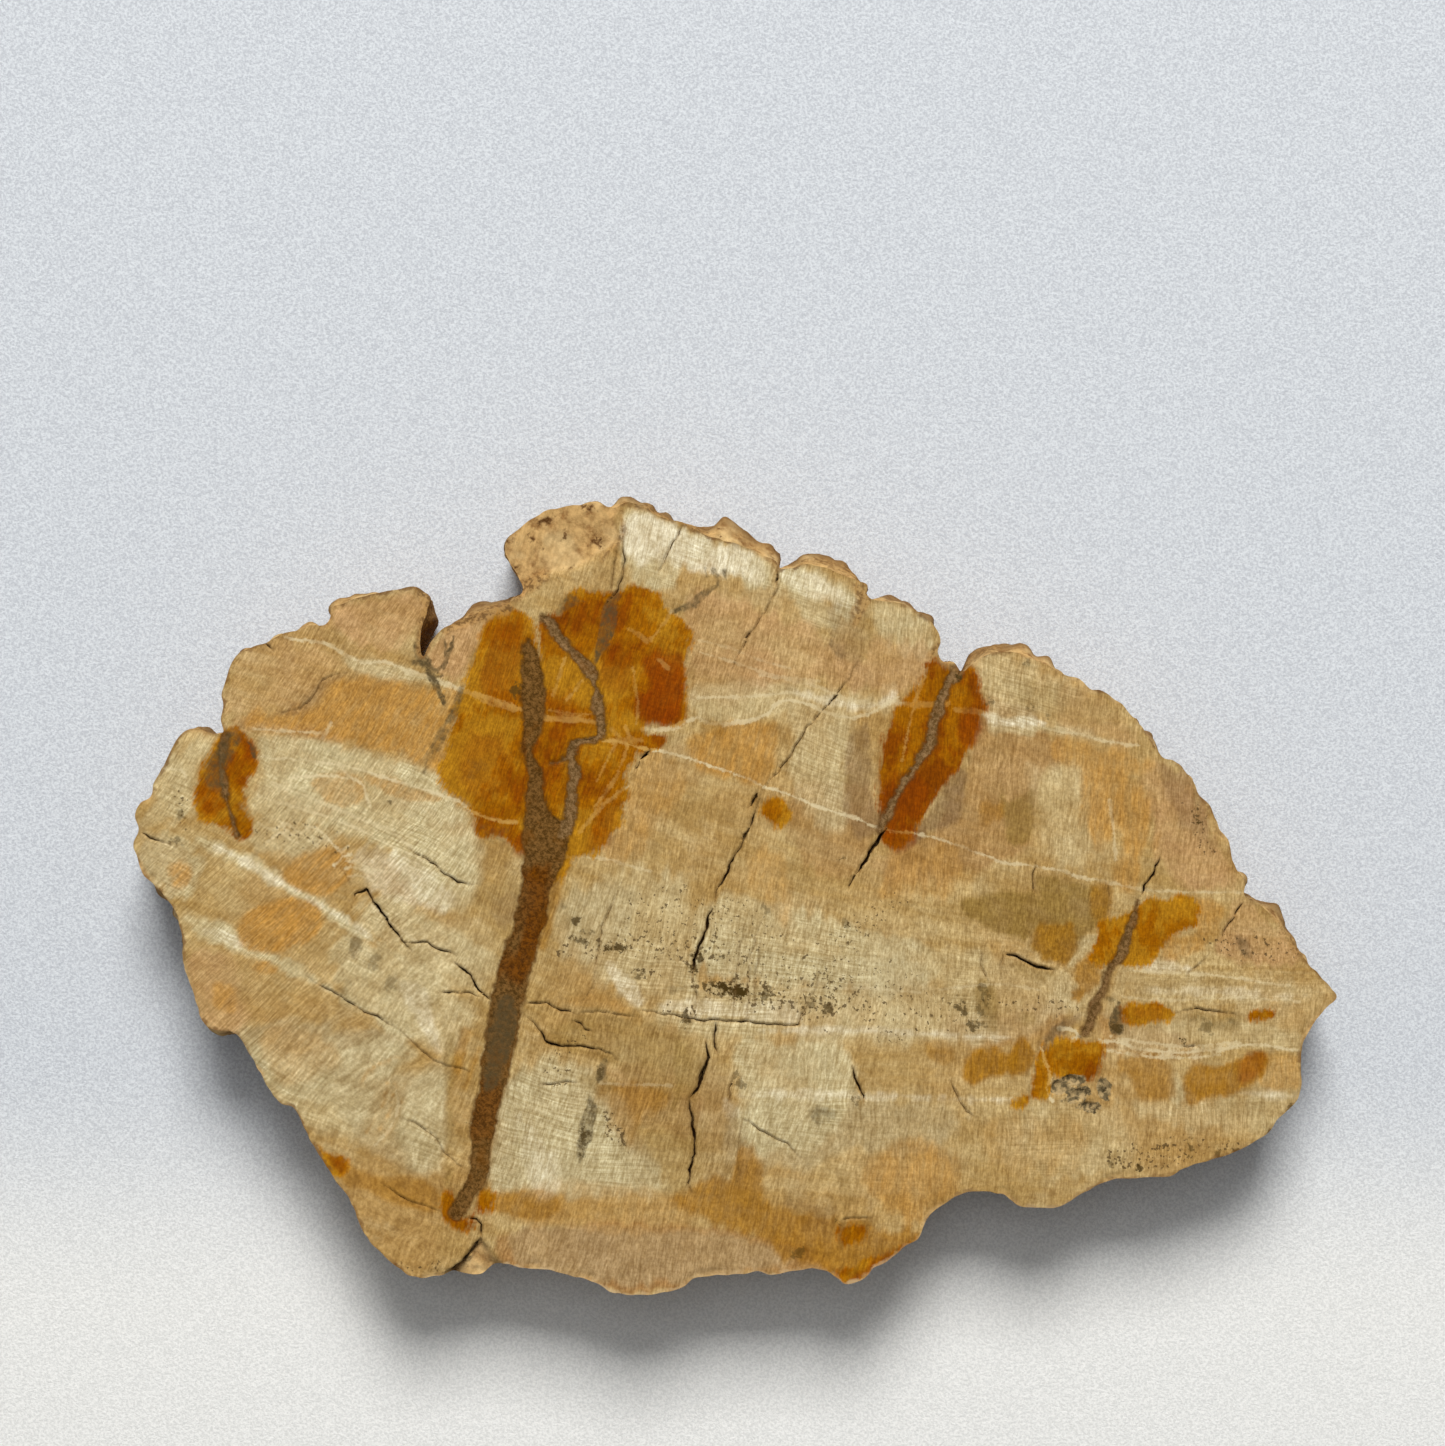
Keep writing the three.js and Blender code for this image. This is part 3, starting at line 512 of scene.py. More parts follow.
        (0.7, 1.0, [(186, 960), (225, 955), (245, 1000), (240, 1030), (205, 1026), (193, 995)]),
        (0.8, 0.8, [(330, 612), (400, 594), (425, 600), (420, 625), (400, 640), (390, 650), (350, 640)]),
        (0.9, 0.7, [(428, 662), (436, 640), (470, 618), (505, 607), (505, 614), (480, 640), (465, 662),
                    (452, 680)]),
        (0.7, 1.2, [(690, 600), (740, 598), (790, 620), (835, 640), (872, 668), (860, 690), (800, 682),
                    (740, 684), (696, 672)]),
        (0.9, 1.0, [(1140, 765), (1175, 770), (1208, 820), (1235, 872), (1232, 888), (1190, 886),
                    (1160, 862), (1148, 820)]),
        (0.9, 0.7, [(1240, 900), (1275, 925), (1300, 958), (1290, 968), (1240, 962), (1214, 950),
                    (1224, 925)]),
        (0.5, 1.0, [(1060, 690), (1095, 695), (1130, 730), (1142, 748), (1100, 742), (1060, 722)]),
        (0.6, 1.0, [(868, 642), (930, 652), (935, 668), (905, 696), (868, 686)]),
        (0.6, 0.6, [(236, 722, 6), (265, 727, 7), (300, 730, 5), (340, 738, 3)]),
    ],
    "orange": [
        (0.95, 0.8, [(240, 720), (285, 712), (308, 710), (326, 684), (350, 676), (420, 686), (462, 694),
                     (448, 722), (438, 768), (390, 752), (340, 740), (290, 732)]),
        (0.9, 0.5, [(283, 882), (290, 866), (310, 853), (335, 846), (354, 862), (354, 880), (335, 892),
                    (305, 893)]),
        (1.0, 0.4, [(237, 932), (243, 915), (262, 903), (290, 896), (318, 905), (322, 920), (312, 936),
                    (290, 948), (265, 953), (245, 948)]),
        (0.8, 0.25, [(252, 968), (262, 960), (278, 968), (270, 975)]),
        (0.55, 0.3, [(312, 783), (335, 771), (362, 778), (366, 795), (348, 806), (326, 800)]),
        (0.65, 0.3, [(362, 776), (385, 776), (415, 787), (444, 800), (412, 801), (386, 794)]),
        (0.9, 0.7, [(688, 738), (740, 724), (772, 722), (776, 760), (762, 786), (738, 780), (700, 766)]),
        (0.5, 1.0, [(745, 860), (775, 848), (788, 880), (792, 925), (768, 912)]),
        (0.5, 1.0, [(628, 768), (680, 764), (692, 790), (660, 825), (622, 862), (604, 852), (622, 815)]),
        (0.85, 1.0, [(1086, 762), (1130, 772), (1152, 800), (1150, 850), (1130, 858), (1116, 830),
                     (1096, 852), (1086, 800)]),
        (0.7, 0.8, [(1050, 738), (1110, 748), (1152, 760), (1142, 778), (1080, 768), (1050, 758)]),
        (0.7, 0.6, [(1118, 858), (1142, 862), (1136, 892), (1118, 884)]),
        (0.7, 1.0, [(876, 1160), (930, 1145), (962, 1160), (955, 1196), (925, 1218), (895, 1218),
                    (872, 1196)]),
        (0.3, 1.2, [(980, 1128), (1080, 1130), (1084, 1160), (1000, 1165)]),
        (0.4, 0.8, [(500, 1196), (690, 1198), (696, 1222), (560, 1226), (505, 1214)]),
        (0.55, 1.0, [(896, 858), (955, 850), (972, 880), (930, 898), (880, 892)]),
        (0.8, 0.6, [(1196, 898), (1226, 905), (1216, 938), (1190, 958), (1162, 958), (1174, 938),
                    (1196, 930)]),
        (0.8, 0.4, [(215, 984), (238, 990), (234, 1013), (216, 1008)]),
        (0.35, 1.0, [(268, 1034), (330, 1040), (342, 1060), (300, 1082), (272, 1066)]),
        (0.8, 0.4, [(170, 868), (186, 862), (190, 882), (174, 886)]),
        (0.6, 0.5, [(1262, 1058), (1296, 1056), (1298, 1086), (1262, 1086)]),
        (0.7, 0.25, [(396, 1084, 1.5), (393, 1100, 2), (388, 1116, 2), (378, 1131, 2), (360, 1148, 1.5)]),
        (0.7, 0.25, [(388, 1082, 1), (384, 1102, 2), (376, 1121, 2), (362, 1137, 2), (344, 1150, 1.5)]),
        (0.6, 0.25, [(404, 1090, 1), (400, 1108, 1.5), (393, 1126, 1.5), (383, 1140, 1)]),
        (0.6, 0.3, [(361, 1086, 1.5), (368, 1072, 2), (385, 1062, 2), (408, 1055, 1.5)]),
        (0.5, 0.4, [(560, 1004, 2), (600, 1000, 5), (640, 1022, 4)]),
    ],
    "honey": [
        (0.6, 0.5, [(1120, 1062), (1140, 1053), (1165, 1058), (1172, 1070), (1174, 1096), (1140, 1098),
                    (1130, 1080)]),
        (0.85, 0.4, [(1183, 1076), (1200, 1066), (1230, 1062), (1262, 1052), (1267, 1062), (1259, 1078),
                     (1240, 1092), (1210, 1098), (1186, 1101)]),
        (0.9, 0.5, [(964, 1058), (985, 1048), (1010, 1050), (1022, 1039), (1036, 1050), (1030, 1068),
                    (1000, 1078), (962, 1082)]),
        (0.5, 0.5, [(925, 1042), (952, 1045), (957, 1062), (932, 1062)]),
        (0.58, 0.6, [(316, 1142), (345, 1158), (380, 1175), (440, 1186), (440, 1212), (408, 1208),
                    (368, 1194), (342, 1180)]),
        (0.75, 1.0, [(670, 1200), (702, 1182), (734, 1180), (738, 1150), (750, 1152), (762, 1182),
                     (768, 1204), (800, 1215), (840, 1218), (872, 1220), (888, 1232), (916, 1236),
                     (895, 1258), (870, 1276), (845, 1283), (825, 1271), (798, 1262), (760, 1242),
                     (720, 1226), (688, 1212)]),
        (0.5, 1.0, [(598, 1086), (662, 1086), (668, 1100), (642, 1126), (636, 1148), (620, 1132),
                    (604, 1106)]),
        (0.6, 0.4, [(1092, 888), (1108, 884), (1110, 918), (1098, 922)]),
        (0.7, 0.4, [(1078, 962), (1100, 957), (1098, 985), (1086, 991), (1074, 980)]),
        (0.8, 0.3, [(1070, 988), (1083, 990), (1080, 1001), (1071, 1001)]),
        (0.7, 0.5, [(1040, 925), (1072, 925), (1078, 945), (1064, 962), (1040, 958), (1030, 945)]),
        (0.55, 0.6, [(983, 803), (1002, 800), (1004, 822), (984, 823)]),
        (0.2, 0.6, [(478, 842), (510, 848), (508, 880), (486, 884)]),
        (0.6, 0.4, [(570, 862, 3), (556, 885, 6), (547, 915, 6), (541, 945, 4)]),
        (0.6, 0.4, [(500, 1195), (560, 1198), (558, 1214), (500, 1212)]),
        (0.45, 0.5, [(700, 724), (716, 720), (724, 732), (704, 736)]),
        (0.6, 0.6, [(480, 1050, 3), (462, 1090, 2), (460, 1050, 2), (468, 1035, 3)]),
    ],
    "olive": [
        (0.55, 0.5, [(450, 1035, 3), (450, 1080, 5), (449, 1120, 5), (446, 1185, 4)]),
        (0.12, 0.8, [(482, 830), (512, 845), (512, 900), (500, 960), (486, 1005), (470, 985), (468, 950),
                    (464, 925), (474, 900), (482, 868)]),
        (0.08, 0.9, [(560, 872), (592, 868), (566, 905), (556, 960), (560, 1010), (526, 1008), (545, 930)]),
        (0.5, 1.0, [(545, 1030), (590, 1012), (650, 1020), (690, 1035), (702, 1060), (692, 1098),
                    (640, 1090), (608, 1062), (560, 1046)]),
        (0.5, 0.8, [(640, 1030), (690, 1035), (702, 1060), (692, 1098), (650, 1092), (630, 1060)]),
        (0.7, 0.5, [(676, 1040, 4), (684, 1060, 9), (678, 1090, 7), (672, 1110, 3)]),
        (0.35, 1.2, [(640, 1108), (686, 1100), (690, 1192), (668, 1196), (648, 1160)]),
        (0.9, 0.6, [(958, 904), (985, 895), (1010, 890), (1036, 893), (1046, 915), (1032, 938),
                    (1005, 936), (985, 926)]),
        (0.9, 0.5, [(1036, 874), (1062, 880), (1100, 890), (1108, 906), (1100, 926), (1085, 934),
                    (1070, 958), (1045, 960), (1028, 946), (1044, 920), (1040, 895)]),
        (0.8, 0.5, [(998, 786), (1010, 800), (1030, 790), (1032, 840), (1012, 846), (1003, 824)]),
        (0.7, 0.5, [(976, 985), (990, 985), (1000, 1012), (994, 1032), (984, 1022), (976, 1005)]),
        (0.5, 0.6, [(575, 1078), (620, 1076), (615, 1094), (590, 1092)]),
        (0.5, 0.5, [(1010, 960), (1050, 968), (1058, 978), (1020, 976)]),
        (0.4, 1.0, [(1088, 690), (1112, 700), (1120, 724), (1040, 712), (1000, 690)]),
        (0.5, 0.6, [(1020, 1012), (1040, 1014), (1036, 1026), (1022, 1024)]),
        (0.4, 0.5, [(1190, 1008, 2), (1210, 1024, 8), (1240, 1018, 4)]),
    ],
    "gloom": [
        (0.8, 0.5, [(848, 738), (866, 722), (870, 760), (868, 790), (878, 815), (876, 836), (858, 838),
                    (848, 820), (844, 790)]),
        (1.0, 0.4, [(952, 768), (964, 770), (966, 790), (962, 815), (942, 826), (926, 836), (906, 842),
                    (925, 815), (940, 795)]),
        (0.5, 0.8, [(828, 602), (850, 614), (872, 640), (862, 664), (840, 662), (828, 640)]),
        (0.35, 1.2, [(700, 1060), (735, 1075), (738, 1110), (736, 1182), (710, 1188), (698, 1150)]),
        (0.6, 0.5, [(207, 755), (225, 743), (232, 755), (226, 782), (212, 778), (202, 800)]),
        (0.6, 0.7, [(1160, 764), (1185, 774), (1203, 800), (1210, 830), (1190, 834), (1172, 800)]),
        (0.5, 0.4, [(280, 713, 3), (305, 707, 5), (318, 693, 5), (328, 681, 4), (345, 674, 2)]),
        (0.35, 0.5, [(356, 935, 3), (354, 955, 4)]),
        (0.4, 0.8, [(790, 1205, 4), (830, 1214, 6), (800, 1222, 4)]),
        (0.7, 0.4, [(1040, 1045, 5), (1060, 1030, 6), (1078, 1016, 3)]),
        (0.5, 0.4, [(1172, 795, 5), (1200, 825, 9), (1212, 850, 4)]),
        (0.8, 0.4, [(1238, 938, 3), (1244, 946, 6), (1252, 958, 2)]),
        (0.5, 0.5, [(490, 900), (516, 894), (514, 922), (496, 922)]),
    ],
    "deep": [
        (1.0, 1.0, [(640, 660), (672, 655), (684, 680), (682, 715), (655, 722), (636, 712), (646, 690)]),
        (0.9, 0.6, [(962, 716), (978, 712), (980, 728), (972, 744), (962, 742)]),
        (1.0, 0.5, [(885, 832), (912, 826), (912, 842), (900, 850), (884, 846)]),
        (0.6, 1.0, [(490, 625), (522, 618), (526, 660), (505, 700), (484, 690)]),
        (0.6, 1.0, [(545, 700), (570, 690), (580, 712), (556, 716)]),
        (0.7, 0.5, [(240, 738), (256, 742), (254, 762), (244, 760)]),
        (0.6, 0.6, [(203, 780), (222, 776), (226, 806), (206, 812)]),
        (0.6, 0.8, [(596, 815), (625, 790), (622, 818), (602, 848), (582, 852)]),
        (0.6, 0.8, [(885, 780), (905, 770), (935, 790), (905, 830), (886, 815)]),
        (0.8, 0.5, [(512, 838), (530, 832), (528, 856), (514, 852)]),
        (0.8, 0.5, [(870, 1262), (890, 1252), (895, 1260), (862, 1280), (848, 1282)]),
        (0.6, 0.4, [(1242, 1056), (1264, 1054), (1256, 1076), (1240, 1084)]),
        (0.8, 0.4, [(322, 1148), (345, 1162), (342, 1174), (330, 1168)]),
        (0.5, 0.5, [(1132, 1008), (1165, 1008), (1162, 1018), (1136, 1020)]),
        (0.5, 0.8, [(600, 660), (632, 652), (628, 690), (606, 690)]),
        (0.5, 0.8, [(460, 745), (500, 735), (512, 790), (470, 795)]),
    ],
    "rust": [
        (1.0, 1.6, [(518, 874), (548, 870), (548, 890), (540, 950), (512, 980), (508, 960), (524, 900)]),
        (0.6, 0.8, [(472, 1085), (500, 1080), (494, 1140), (474, 1140)]),
        (0.9, 0.4, [(517, 690, 1.5), (521, 740, 3), (520, 780, 4), (516, 820, 5), (514, 845, 7),
                    (520, 862, 4)]),
        (0.8, 0.4, [(545, 772, 2), (556, 790, 3), (562, 808, 2)]),
        (0.6, 0.6, [(548, 872, 2), (550, 884, 4), (544, 904, 4)]),
    ],
    "specks": [
        (1.0, 1.0, [(700, 985, 6), (735, 992, 14), (770, 998, 10), (830, 1006, 9), (866, 1010, 5)]),
        (0.7, 1.0, [(560, 950, 3), (640, 945, 10), (700, 950, 12), (745, 955, 5)]),
        (0.8, 0.6, [(638, 975, 5), (660, 976, 4), (670, 1012, 2), (700, 1016, 5)]),
        (0.8, 0.6, [(804, 975, 6), (840, 980, 6)]),
        (0.9, 0.4, [(605, 1112, 5), (615, 1130, 7), (632, 1150, 4)]),
        (0.7, 0.8, [(1110, 1160, 10), (1180, 1150, 12), (1240, 1140, 5)]),
        (0.3, 0.6, [(262, 828, 10), (310, 835, 12), (340, 850, 8)]),
        (0.5, 0.8, [(990, 1004, 6), (1060, 1008, 8), (1090, 1012, 3)]),
        (0.5, 0.8, [(900, 900, 10), (860, 925, 14), (830, 950, 8)]),
        (0.35, 1.5, [(650, 910, 30), (780, 960, 40), (900, 1005, 30), (960, 1010, 10)]),
        (0.6, 0.8, [(395, 1265, 8), (440, 1270, 6)]),
        (0.5, 1.0, [(1210, 940, 10), (1290, 950, 12)]),
        (0.6, 0.6, [(185, 800, 6), (182, 830, 5)]),
        (0.4, 1.0, [(556, 1075, 10), (575, 1040, 10)]),
        (0.5, 0.8, [(1196, 815, 12), (1208, 850, 8)]),
    ],
}
BROKEN_CORNER = [
    (624, 490), (619, 520), (622, 542), (613, 548), (600, 556), (588, 564), (572, 572), (552, 576),
    (540, 578), (532, 588), (524, 598), (500, 590), (490, 560), (495, 520), (530, 495), (580, 488),
]
CHIP = [
    (481, 1234), (488, 1246), (496, 1258), (508, 1266), (500, 1290), (430, 1290), (443, 1275),
    (458, 1264), (468, 1254), (474, 1244),
]
# Thin pale silica lines as (half width, strength, marks).
PALE_LINES = [
    (1.0, 0.7, [(285, 637), (300, 640), (322, 643), (338, 650), (352, 658), (365, 662), (385, 662),
                (405, 669), (425, 675), (445, 682), (462, 690)]),
    (1.7, 0.6, [(405, 672), (425, 677), (445, 684), (462, 690), (485, 697), (505, 704), (522, 709)]),
    (0.8, 0.5, [(470, 694), (490, 704), (512, 711)]),
    (2.6, 0.5, [(543, 718), (565, 719), (596, 722)]),
    (0.7, 0.4, [(548, 711), (570, 713), (594, 714)]),
    (2.0, 0.6, [(640, 729), (660, 729), (676, 726), (686, 721), (697, 717)]),
    (1.0, 0.5, [(697, 717), (704, 721), (712, 724), (724, 724)]),
    (1.3, 0.65, [(722, 725), (740, 722), (758, 718), (768, 713), (775, 705), (786, 700), (800, 702),
                 (814, 707), (830, 714), (850, 718), (868, 714), (882, 706), (898, 697)]),
    (0.9, 0.5, [(698, 698), (720, 697), (745, 697), (770, 694), (792, 693), (812, 697), (830, 703)]),
    (1.2, 0.35, [(760, 675), (790, 680), (820, 688), (850, 700), (880, 704)]),
    (0.6, 0.3, [(700, 640), (730, 648), (760, 660), (790, 668)]),
    (0.6, 0.3, [(700, 652), (740, 664), (780, 676), (820, 682)]),
    (0.9, 0.85, [(603, 741), (620, 741), (640, 748), (665, 752), (690, 758), (705, 764), (730, 772),
                 (750, 780), (762, 786), (785, 793), (800, 799), (820, 808), (840, 813), (860, 820)]),
    (0.7, 0.6, [(860, 820), (880, 828), (895, 831), (920, 834), (945, 841), (965, 848), (985, 855),
                (1000, 861), (1020, 864), (1040, 867), (1060, 870), (1080, 877), (1105, 881)]),
    (0.8, 0.45, [(1105, 882), (1130, 887), (1160, 891), (1195, 892), (1225, 892), (1240, 892)]),
    (2.2, 0.35, [(898, 704), (925, 704), (948, 704)]),
    (2.0, 0.35, [(955, 710), (975, 711), (998, 718)]),
    (0.7, 0.5, [(926, 675), (917, 694), (912, 715), (906, 740), (902, 760)]),
    (1.1, 0.5, [(1050, 730), (1075, 733), (1110, 742), (1140, 746)]),
    (1.1, 0.7, [(1100, 1041), (1120, 1043), (1140, 1049), (1160, 1052), (1190, 1052), (1220, 1049),
                (1250, 1045), (1275, 1047), (1300, 1052)]),
    (0.8, 0.7, [(1105, 1050), (1130, 1054), (1160, 1057), (1190, 1058), (1220, 1055)]),
    (0.6, 0.5, [(1110, 1036), (1140, 1042), (1180, 1046), (1240, 1042)]),
    (1.0, 0.85, [(1041, 1048), (1045, 1060), (1050, 1076), (1047, 1092), (1052, 1101)]),
    (1.4, 0.7, [(1058, 1028), (1070, 1029), (1080, 1036), (1072, 1040)]),
    (0.8, 0.5, [(565, 658), (560, 674), (553, 696)]),
    (0.8, 0.5, [(582, 680), (575, 690), (567, 701)]),
    (0.8, 0.45, [(633, 668), (636, 690), (638, 706), (637, 724)]),
    (0.7, 0.4, [(671, 611), (661, 626), (651, 641)]),
    (1.8, 0.3, [(628, 629), (638, 634), (648, 642)]),
    (1.6, 0.35, [(659, 659), (668, 669)]),
    (1.6, 0.4, [(626, 726), (630, 736), (636, 744)]),
    (1.4, 0.4, [(612, 729), (622, 738), (642, 740)]),
    (0.6, 0.4, [(615, 745), (606, 762), (597, 782)]),
    (0.6, 0.35, [(627, 748), (620, 768), (612, 784)]),
    (1.2, 0.5, [(628, 786), (614, 797), (603, 806), (590, 820), (579, 832)]),
    (1.4, 0.45, [(611, 785), (602, 798), (594, 808)]),
    (0.7, 0.4, [(560, 856), (600, 858), (630, 866), (650, 872)]),
    (0.7, 0.6, [(262, 757), (300, 760), (340, 765), (370, 772)]),
    (0.8, 0.75, [(292, 778), (320, 776), (345, 778), (362, 784), (366, 795), (370, 806)]),
    (0.6, 0.6, [(338, 765), (350, 776), (358, 781)]),
    (0.9, 0.75, [(372, 774), (400, 782), (430, 792), (462, 803), (476, 814), (500, 821), (515, 822)]),
    (1.6, 0.4, [(272, 783), (300, 793), (330, 806), (360, 818), (392, 832), (410, 846)]),
    (0.7, 0.4, [(258, 796), (290, 806), (330, 818), (372, 836), (400, 850), (440, 866)]),
    (0.5, 0.5, [(258, 822), (272, 830), (286, 824), (300, 832), (312, 826), (326, 838)]),
    (0.5, 0.5, [(268, 842), (280, 832), (296, 842), (308, 832), (318, 846)]),
    (0.5, 0.45, [(280, 820), (290, 834), (306, 840), (330, 840)]),
    (0.8, 0.8, [(326, 836), (336, 848), (342, 856), (334, 866)]),
    (0.8, 0.8, [(342, 856), (352, 855)]),
    (0.6, 0.7, [(340, 852), (348, 846)]),
    (0.7, 0.6, [(346, 861), (356, 862), (368, 868), (380, 870)]),
    (0.7, 0.6, [(344, 868), (358, 868), (372, 873)]),
    (0.7, 0.5, [(348, 877), (360, 876), (374, 881)]),
    (0.7, 0.25, [(600, 1083), (635, 1085), (672, 1085)]),
    (0.7, 0.5, [(1130, 970), (1200, 974), (1290, 986)]),
    (0.6, 0.4, [(1122, 997), (1160, 1000), (1240, 998), (1300, 1001)]),
    (0.7, 0.4, [(940, 990), (1000, 984), (1040, 990)]),
    (0.7, 0.4, [(780, 992), (850, 988), (920, 992)]),
    (0.7, 0.4, [(1110, 800), (1114, 830), (1115, 860)]),
    (0.7, 0.4, [(396, 1090), (398, 1110), (390, 1128), (375, 1145)]),
    (1.0, 0.6, [(150, 765), (165, 768), (180, 770), (186, 778)]),
    (0.8, 0.5, [(372, 905), (395, 925), (420, 945)]),
    (0.6, 0.6, [(322, 738), (327, 730), (331, 722)]),
    (0.6, 0.5, [(252, 728), (290, 731), (324, 733)]),
]
# Dark spots as (x, y, half width, half height, turn in degrees, darkness).
SPOTS = [
    (583, 1140, 4, 15, 8, 0.8), (600, 1072, 3, 6, 8, 0.7),
    (576, 920, 6, 4, 0, 0.85), (573, 937, 5, 4, 0, 0.8), (587, 933, 5, 3, 0, 0.7), (584, 941, 6, 4, 0, 0.75),
    (614, 948, 11, 5, -10, 0.9), (640, 974, 6, 4, 0, 0.7), (722, 959, 5, 3, 0, 0.8), (698, 957, 7, 5, 0, 0.9),
    (694, 967, 5, 6, 0, 0.9), (687, 1019, 5, 8, 0, 0.8), (708, 984, 7, 4, -20, 0.8),
    (722, 988, 13, 6, 0, 1.0),
    (739, 992, 9, 8, 0, 1.0), (765, 994, 9, 6, -30, 0.7), (828, 1008, 7, 6, 0, 0.8),
    (812, 1004, 4, 6, 0, 0.6),
    (820, 1112, 7, 6, 0, 0.35), (855, 1100, 4, 7, 0, 0.6), (740, 1083, 6, 7, 0, 0.6),
    (735, 1075, 3, 6, 0, 0.6),
    (355, 947, 6, 9, 20, 0.45), (375, 962, 5, 8, 25, 0.45), (390, 985, 6, 10, 20, 0.45),
    (345, 988, 5, 8, 20, 0.3), (388, 802, 3, 2, 0, 0.7), (1117, 1027, 7, 5, 0, 0.8),
    (1182, 1041, 3, 3, 0, 0.95),
    (1206, 1028, 8, 8, 0, 0.5), (1195, 1018, 6, 4, 0, 0.4), (1230, 1022, 7, 4, 0, 0.4),
    (962, 1010, 5, 10, -25, 0.8), (972, 1025, 6, 10, -20, 0.8), (985, 995, 4, 12, -20, 0.6),
    (982, 1015, 4, 10, -20, 0.6),
    (959, 675, 3, 4, 0, 1.0), (991, 702, 5, 4, 0, 0.6), (1030, 708, 3, 3, 0, 0.6), (1048, 719, 3, 4, 0, 0.5),
    (1026, 658, 4, 6, 0, 0.6), (516, 692, 5, 8, 0, 0.75),
    (1199, 821, 3, 3, 0, 0.9), (842, 860, 3, 2, 0, 0.7), (846, 924, 5, 6, 0, 0.5), (766, 909, 4, 6, 0, 0.5),
    (552, 907, 8, 4, 0, 0.2), (562, 905, 3, 3, 0, 0.4), (460, 1124, 4, 2, 0, 0.6),
    (1190, 1150, 3, 8, 0, 0.7), (1219, 1153, 3, 5, 0, 0.7), (1236, 1149, 3, 3, 0, 0.8),
    (1140, 1168, 3, 3, 0, 0.9),
    (1112, 1166, 3, 4, 0, 0.6), (1270, 1132, 4, 6, -20, 0.8), (1290, 1108, 4, 6, -30, 0.7),
    (175, 842, 6, 4, 0, 0.6), (181, 815, 4, 6, 0, 0.5), (1110, 1000, 5, 3, 0, 0.5),
    (800, 1252, 9, 5, -20, 0.6), (838, 1224, 2, 4, 0, 0.7), (1068, 1100, 3, 3, 0, 0.6),
]
# The ovals that make up the crystal pocket, as the spots are but with no darkness.
POCKET = [(1060, 1087, 13, 9, -10), (1078, 1095, 16, 9, -25), (1102, 1088, 8, 13, -15),
          (1088, 1106, 13, 7, 0), (1072, 1080, 14, 6, 0)]
print(len(CRACKS), "cracks,", len(VEINS), "veins,", len(AMBER), "amber patches")
print(sum(len(s) for s in STAINS.values()), "stains,", len(PALE_LINES), "pale lines,", len(SPOTS), "spots")

# %% [markdown]
# How far a point is from a traced mark decides its colour and its depth. Distances keep their sign,
# so that an edge between two mesh points is still sharp when the shader reads it.

# %% Distances to the marks
def densify(marks, step=4.0, shake=0.0, seed=3, curved=True):
    """The marks joined at even steps, each point moved by crumble by up to `shake` units."""
    dots = np.asarray(marks, float)
    if curved:
        dots = spline(dots, False, 16)
    length = np.linalg.norm(np.diff(dots[:, :2], axis=0), axis=1).sum()
    dots = even_steps(dots, max(3, int(length / step) + 1), False)
    for column in (0, 1):
        dots[:, column] += shake * crumble(dots[:, 0], dots[:, 1], 0 * dots[:, 0], 9, 3, seed + column)
    return dots


def line_field(points, line, reach):
    """(distance to the line less its half width there, that half width), `reach` where it is far off."""
    out, wide = np.full(len(points), reach), np.zeros(len(points))
    low, high = line[:, :2].min(0) - reach, line[:, :2].max(0) + reach
    near = np.where(((points > low) & (points < high)).all(1))[0]
    if not len(near):
        return out, wide
    p = points[near][:, None, :]
    a, b = line[None, :-1, :2], line[None, 1:, :2]
    run = b - a
    t = np.clip(((p - a) * run).sum(2) / np.maximum((run**2).sum(2), 1e-18), 0, 1)
    half = line[None, :-1, 2] + t * (line[None, 1:, 2] - line[None, :-1, 2])
    gap = np.linalg.norm(p - (a + t[..., None] * run), axis=2) - half
    best = gap.argmin(1)
    rows = np.arange(len(near))
    out[near] = np.minimum(reach, gap[rows, best])
    wide[near] = half[rows, best]
    return out, wide


def shape_field(points, outline, reach):
    """Signed distance to a closed outline, positive inside: nearest side, signed by crossings."""
    out = np.full(len(points), -reach)
    low, high = outline.min(0) - reach, outline.max(0) + reach
    near = np.where(((points > low) & (points < high)).all(1))[0]
    for part in np.array_split(near, max(1, len(near) // 4000)):
        p = points[part][:, None, :]
        a, b = outline[None], np.roll(outline, -1, axis=0)[None]
        run = b - a
        t = np.clip(((p - a) * run).sum(2) / np.maximum((run**2).sum(2), 1e-18), 0, 1)
        gap = np.linalg.norm(p - (a + t[..., None] * run), axis=2).min(1)
        cut = (a[..., 1] > p[..., 1]) != (b[..., 1] > p[..., 1])
        rise = np.where(run[..., 1] == 0, 1e-18, run[..., 1])
        cross = cut & (p[..., 0] < a[..., 0] + (p[..., 1] - a[..., 1]) / rise * run[..., 0])
        inside = cross.sum(1) % 2 == 1
        out[part] = np.clip(np.where(inside, gap, -gap), -reach, reach)
    return out


def oval_field(points, x, y, wide, tall, turn=0.0):
    """1 at the middle of an oval, 0 on its rim, negative outside: 1 less the scaled radius."""
    p = points - place([(x, y)])
    c, s = math.cos(math.radians(turn)), math.sin(math.radians(turn))
    u, v = p[:, 0] * c - p[:, 1] * s, p[:, 0] * s + p[:, 1] * c
    return 1 - np.hypot(u / (wide * UNIT), v / (tall * UNIT))


def stain_band(marks, number):
    """A band-shaped stain as a line with half widths, shaken with a seed of its own."""
    dots = densify(marks, 5.0, 2.5, 171 + number)
    return np.column_stack([place(dots[:, :2]), dots[:, 2] * UNIT])


